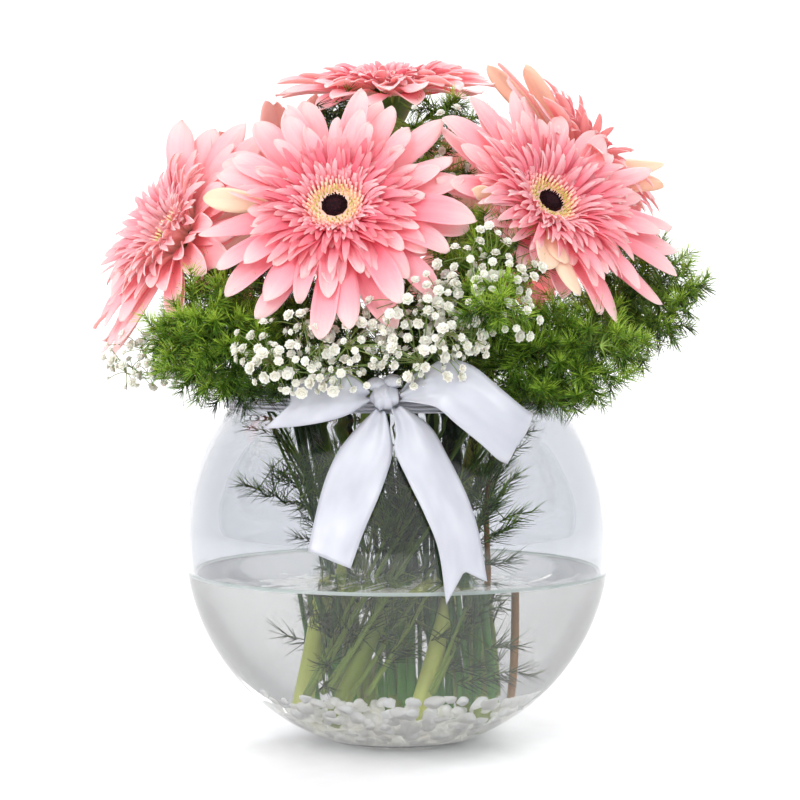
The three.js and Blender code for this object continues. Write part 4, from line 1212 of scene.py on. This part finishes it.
def addPlume(stock, start, direction, rng, count, shade, lean=0.35, stretch=1.0):
    # a short side shoot with needles all along it
    reach = rng.uniform(*fernSettings["plume"]) * stretch
    bend = unit(scatter(rng)) * reach * 0.25
    path = smoothPath([start, start + direction * reach * 0.5 + bend * 0.5, start + direction * reach], 12)
    addTube(stock, path[::3], np.linspace(0.34, 0.2, 4), 3, 0.4, 1)
    for i in range(count):
        share = (i + 0.5) / count
        at = path[int(share * 11)]
        way = unit(sideways(direction, rng) + direction * (lean + 0.75 * share + rng.uniform(-0.2, 0.2)))
        length = rng.uniform(*fernSettings["needle"]) * (1.05 - 0.3 * share) * stretch
        # needles that point up are drawn lighter: painted light from above
        tone = shade + 0.3 * way[2] + 0.2 * share + rng.uniform(-0.14, 0.14)
        addNeedle(stock, at, way, length, fernSettings["needleRadius"], tone, rng)


def cloudPoints(middle, size, count, apart, rng):
    # points spread through an egg-shaped space, no nearer each other than a given distance
    found = []
    for _ in range(count * 60):
        offset = np.array([rng.uniform(-1, 1) for _ in range(3)])
        if offset @ offset > 1:
            continue
        point = np.array(middle) + offset * size
        if all(np.linalg.norm(point - other) > apart for other in found):
            found.append(point)
        if len(found) == count:
            break
    return found


def insideBowl(point, margin):
    limit = bowl["radius"] - bowl["wall"] - margin
    fromMiddle = point - (0, 0, bowl["centre"])
    return fromMiddle @ fromMiddle < limit ** 2 and point[2] < bowl["shoulder"]


def addInnerShoots(stock, lower, wisps, rng):
    # sparse shoots that lean off the stem inside the bowl, drawn in dark tones as painted shade
    for centre, size, count in wisps:
        for middle in cloudPoints(centre, size, count, fernSettings["innerApart"], rng):
            nearest = lower[np.argmin(np.linalg.norm(lower - middle, axis=1))]
            way = unit(middle - nearest + np.array([rng.gauss(0, 5), rng.gauss(0, 5), 24]))
            if not insideBowl(middle + way * 26, 5):
                continue
            addStrand(stock, [nearest, (nearest + middle) / 2 + (0, 0, 2), middle], 6, 0.3, 3, 0.2)
            # painted shade: dark tones
            shade = rng.uniform(0.0, 0.3)
            addPlume(stock, middle - way * 3, way, rng, fernSettings["innerNeedles"], shade, 1.2, 1.3)


def addWhorl(stock, at, direction, count, longest, rng):
    for _ in range(count):
        way = unit(sideways(direction, rng) + direction * rng.uniform(1.0, 2.2))
        length = rng.uniform(0.6, 1.0) * longest
        if insideBowl(at + way * length, 2):
            # dark tones: painted shade inside the bowl
            addNeedle(stock, at, way, length, fernSettings["innerRadius"], rng.uniform(0.0, 0.4), rng)


def addWisps(stock, foot, neck, rng):
    # whorls of fine needles and small side shoots along the stem inside the bowl
    direction = unit(neck - foot)
    length = np.linalg.norm(neck - foot)
    for step, distance in enumerate(np.arange(16, length - 4, fernSettings["whorlGap"])):
        at = foot + direction * (distance + rng.uniform(-1.5, 1.5))
        addWhorl(stock, at, direction, fernSettings["whorl"], 15, rng)
        if step % 3 == 1:
            way = unit(sideways(direction, rng) + direction * 1.1)
            tip = at + way * rng.uniform(14, 22)
            if insideBowl(tip, 5):
                bend = (at + tip) / 2 + (0, 0, 1)
                addStrand(stock, [at, bend, tip], 5, fernSettings["innerRadius"], 3, 0.3)
                for share in (0.4, 0.6, 0.8, 1.0):
                    addWhorl(stock, at + (tip - at) * share, way, 5, 10, rng)


def addThinStem(stock, foot, neck, rng):
    # another stem of the bunch, which crosses the frond's own under the water
    turn, reach = rng.uniform(-0.45, 0.45), rng.uniform(0.8, 1.35)
    c, s = math.cos(turn) * reach, math.sin(turn) * reach
    toe = np.array([foot[0] * c - foot[1] * s, foot[0] * s + foot[1] * c, foot[2] + rng.uniform(-1, 6)])
    bend = (toe + neck) / 2 + (rng.uniform(-4, 4), rng.uniform(-4, 4), 0)
    addStrand(stock, [toe, bend, neck], 14, rng.uniform(0.55, 0.95), 6)


def addUprights(stock, area, shift, count, rng):
    # stems that stand close together in the middle of the bunch, drawn dark and darker towards the top as
    # painted shade under the blooms
    for _ in range(count):
        x, y = rng.uniform(*area[0]), rng.uniform(*area[1])
        toe = (x + shift + rng.uniform(-6, 6), y * 0.6 + 2 + 0.6 * shift, rng.uniform(25, 34))
        top = (x * 0.85, y - 8, 150)
        bend = ((toe[0] + top[0]) / 2 + rng.uniform(-3, 3), (toe[1] + top[1]) / 2 - 4, rng.uniform(80, 100))
        addStrand(stock, [toe, bend, top], 16, rng.uniform(0.8, 1.7), 8, slot=2)


def addTwigs(stock, twigs, neck):
    # the brown twigs of the bunch
    for places in twigs:
        addStrand(stock, places + [neck], 24, np.linspace(1.7, 1.0, 24), 9, slot=3)


def overRim(point, settings):
    # where a stem that heads for a point crosses the rim
    outward = unit((point[0], point[1], 0))
    reach = min(math.hypot(point[0], point[1]) * 0.8, settings["rimReach"])
    return np.array((*(outward[:2] * reach), settings["rimHeight"]))


def addFrondStem(stock, foot, neck, tip):
    path = smoothPath([foot, (foot + neck) / 2, neck, overRim(tip, fernSettings), tip], 40)
    radii = fernSettings["stemRadius"] * np.linspace(1.05, 0.35, 40)
    addTube(stock, path, radii, 7, 0.5, 1)
    return path


def makeFrond(key, frond, seed):
    draws = random.Random(seed)
    node = "fern_" + key
    foot, neck = stemFootAndNeck(node)
    stock = newStock()
    path = addFrondStem(stock, foot, neck, np.array(frond["tip"], dtype=float))
    upper = path[path[:, 2] > fernSettings["plumesAbove"]]
    lower = path[path[:, 2] < fernSettings["innerBelow"]]
    for centre, size, count, shade in frond["clouds"]:
        for middle in cloudPoints(centre, size, count, fernSettings["apart"], draws):
            far = np.linalg.norm(upper - middle, axis=1) + 0.4 * np.abs(upper[:, 2] - middle[2] + 8)
            nearest = upper[np.argmin(far)]
            bend = (nearest + middle) / 2 + (0, 0, 2.5)
            addStrand(stock, [nearest, bend, middle], 6, np.linspace(0.5, 0.3, 6), 4, 0.4)
            way = unit((middle - np.array(centre)) / size + scatter(draws, 0.45) + (0, 0, 0.15))
            # painted light and shade: the cloud's lightness, with a spread
            shadeHere = shade + draws.uniform(-0.24, 0.16)
            addPlume(stock, middle - way * 6, way, draws, fernSettings["needles"], shadeHere)
    addThinStem(stock, foot, neck, draws)
    if "uprights" in frond:
        addUprights(stock, *frond["uprights"], draws)
    addTwigs(stock, frond.get("twigs", []), neck)
    addWisps(stock, foot, neck, draws)
    addInnerShoots(stock, lower, frond.get("wisps", []), draws)
    standsFor(makeObject("fern_" + key + "_needles", stock, fernFinish), "fern", node)


for number, (key, frond) in enumerate(fronds.items()):
    makeFrond(key, frond, 300 + number)
print("fern is made")


# baby's breath

# hubs: where the twigs of a spray part. nearMiddle: a spray nearer the middle doesn't lean over the rim
gypSettings = {"blossom": (1.5, 3.2), "stemRadius": 0.75, "twigRadius": 0.22, "apart": 4.3, "hubs": 7,
               "hubsApart": 9, "nearMiddle": 60, "rimReach": 70, "rimHeight": 168}
sprays = {
    "front_left": {"cloud": (-35, -95, 178), "size": (37, 10, 19), "blossoms": 126},
    "front": {"cloud": (12, -95, 187), "size": (29, 11, 25), "blossoms": 122},
    "front_right": {"cloud": (38, -93, 204), "size": (26, 10, 29), "blossoms": 92},
    "left": {"cloud": (-113, -49, 173), "size": (20, 16, 14), "blossoms": 56},
    "rear": {"cloud": (-8, 100, 190), "size": (32, 18, 24), "blossoms": 70},
    "top": {"cloud": (20, -30, 270), "size": (24, 16, 22), "blossoms": 34},
}


def blossomTemplate():
    # a small double blossom: rings of folded petals round a bud
    bud, budFaces = grid["ball"]
    points, faces, tones = [bud * 0.42 + (0, 0, 0.3)], [budFaces], [np.full(len(bud), 0.55)]
    count = len(bud)
    petal = np.array([(0.12, 0, 0), (0.72, -0.44, 0.1), (1.0, 0, -0.04), (0.72, 0.44, 0.1)])
    for level, (number, tilt) in enumerate(((7, 4), (7, 34), (6, 62))):
        c, s = math.cos(math.radians(tilt)), math.sin(math.radians(tilt))
        leaf = petal * (1.0 - 0.06 * level) @ np.array([[c, 0, s], [0, 1, 0], [-s, 0, c]])
        for i in range(number):
            points.append(leaf @ spinAboutZ(2 * math.pi * (i + 0.37 * level) / number).T)
            faces.append(np.array([(0, 1, 2), (0, 2, 3)]) + count)
            tones.append(np.array([0.1, 0.75, 0.85, 0.75]) + 0.05 * level)
            count += len(petal)
    return np.concatenate(points), np.concatenate(faces), np.concatenate(tones)


blossomStops = [(0.0, "9da37a"), (0.25, "cfcdb8"), (0.6, "e8e6dc"), (1.0, "f4f3ec")]
gypFinish = [
    speckledMaterial("blossomCream", blossomStops, (700, 2), (0.45, 0.8, "505050", "d9d3bb"), (700, 2),
                     (0.3, 0.0003), Roughness=0.7, Subsurface_Weight=0.1),
    stemMaterial("gypStem", "8f9a5c", "7f9450", "74904a"),
]
blossomPoints, blossomFaces, blossomTones = blossomTemplate()


def makeSpray(key, spray, seed):
    draws = random.Random(seed)
    node = "gyp_" + key
    foot, neck = stemFootAndNeck(node)
    stock = newStock()
    cloud = np.array(spray["cloud"], dtype=float)
    outward = unit((cloud[0], cloud[1], 0))
    root = cloud + (0, 0, -0.45 * spray["size"][2]) - outward * 0.5 * spray["size"][1]
    route = [foot, neck, root]
    if math.hypot(cloud[0], cloud[1]) > gypSettings["nearMiddle"]:
        route = [foot, (foot + neck) / 2, neck, overRim(cloud, gypSettings), root]
    path = smoothPath(route, 36)
    addTube(stock, path, np.linspace(1.0, 0.6, 36) * gypSettings["stemRadius"], 6, 0.5, 1)
    inner = np.array(spray["size"]) * 0.6
    hubs = cloudPoints(cloud, inner, gypSettings["hubs"], gypSettings["hubsApart"], draws)
    for hub in hubs:
        addStrand(stock, [path[-6], (root + hub) / 2 + (0, 0, -2), hub], 8, np.linspace(0.45, 0.3, 8), 4)
    for middle in cloudPoints(cloud, spray["size"], spray["blossoms"], gypSettings["apart"], draws):
        hub = min(hubs, key=lambda point: np.linalg.norm(point - middle))
        way = unit(middle - hub + (0, 0, 1e-3))
        bend = (hub + middle) / 2 - way * 0.5 + (0, 0, 1)
        addStrand(stock, [hub, bend, middle], 4, gypSettings["twigRadius"], 3)
        facing = unit(way + 0.9 * unit((middle[0], middle[1], 60)) + scatter(draws, 0.3))
        size = draws.uniform(*gypSettings["blossom"])
        points = size * blossomPoints @ turnedTo(facing, draws.uniform(0, 6)).T + middle
        tone = np.clip(blossomTones + draws.uniform(-0.12, 0.12), 0, 1)
        addCopy(stock, points, blossomFaces, None, tone)
    standsFor(makeObject("gyp_" + key + "_blossoms", stock, gypFinish), "gyp", node)


for number, (key, spray) in enumerate(sprays.items()):
    makeSpray(key, spray, 500 + number)
print("baby's breath is made")
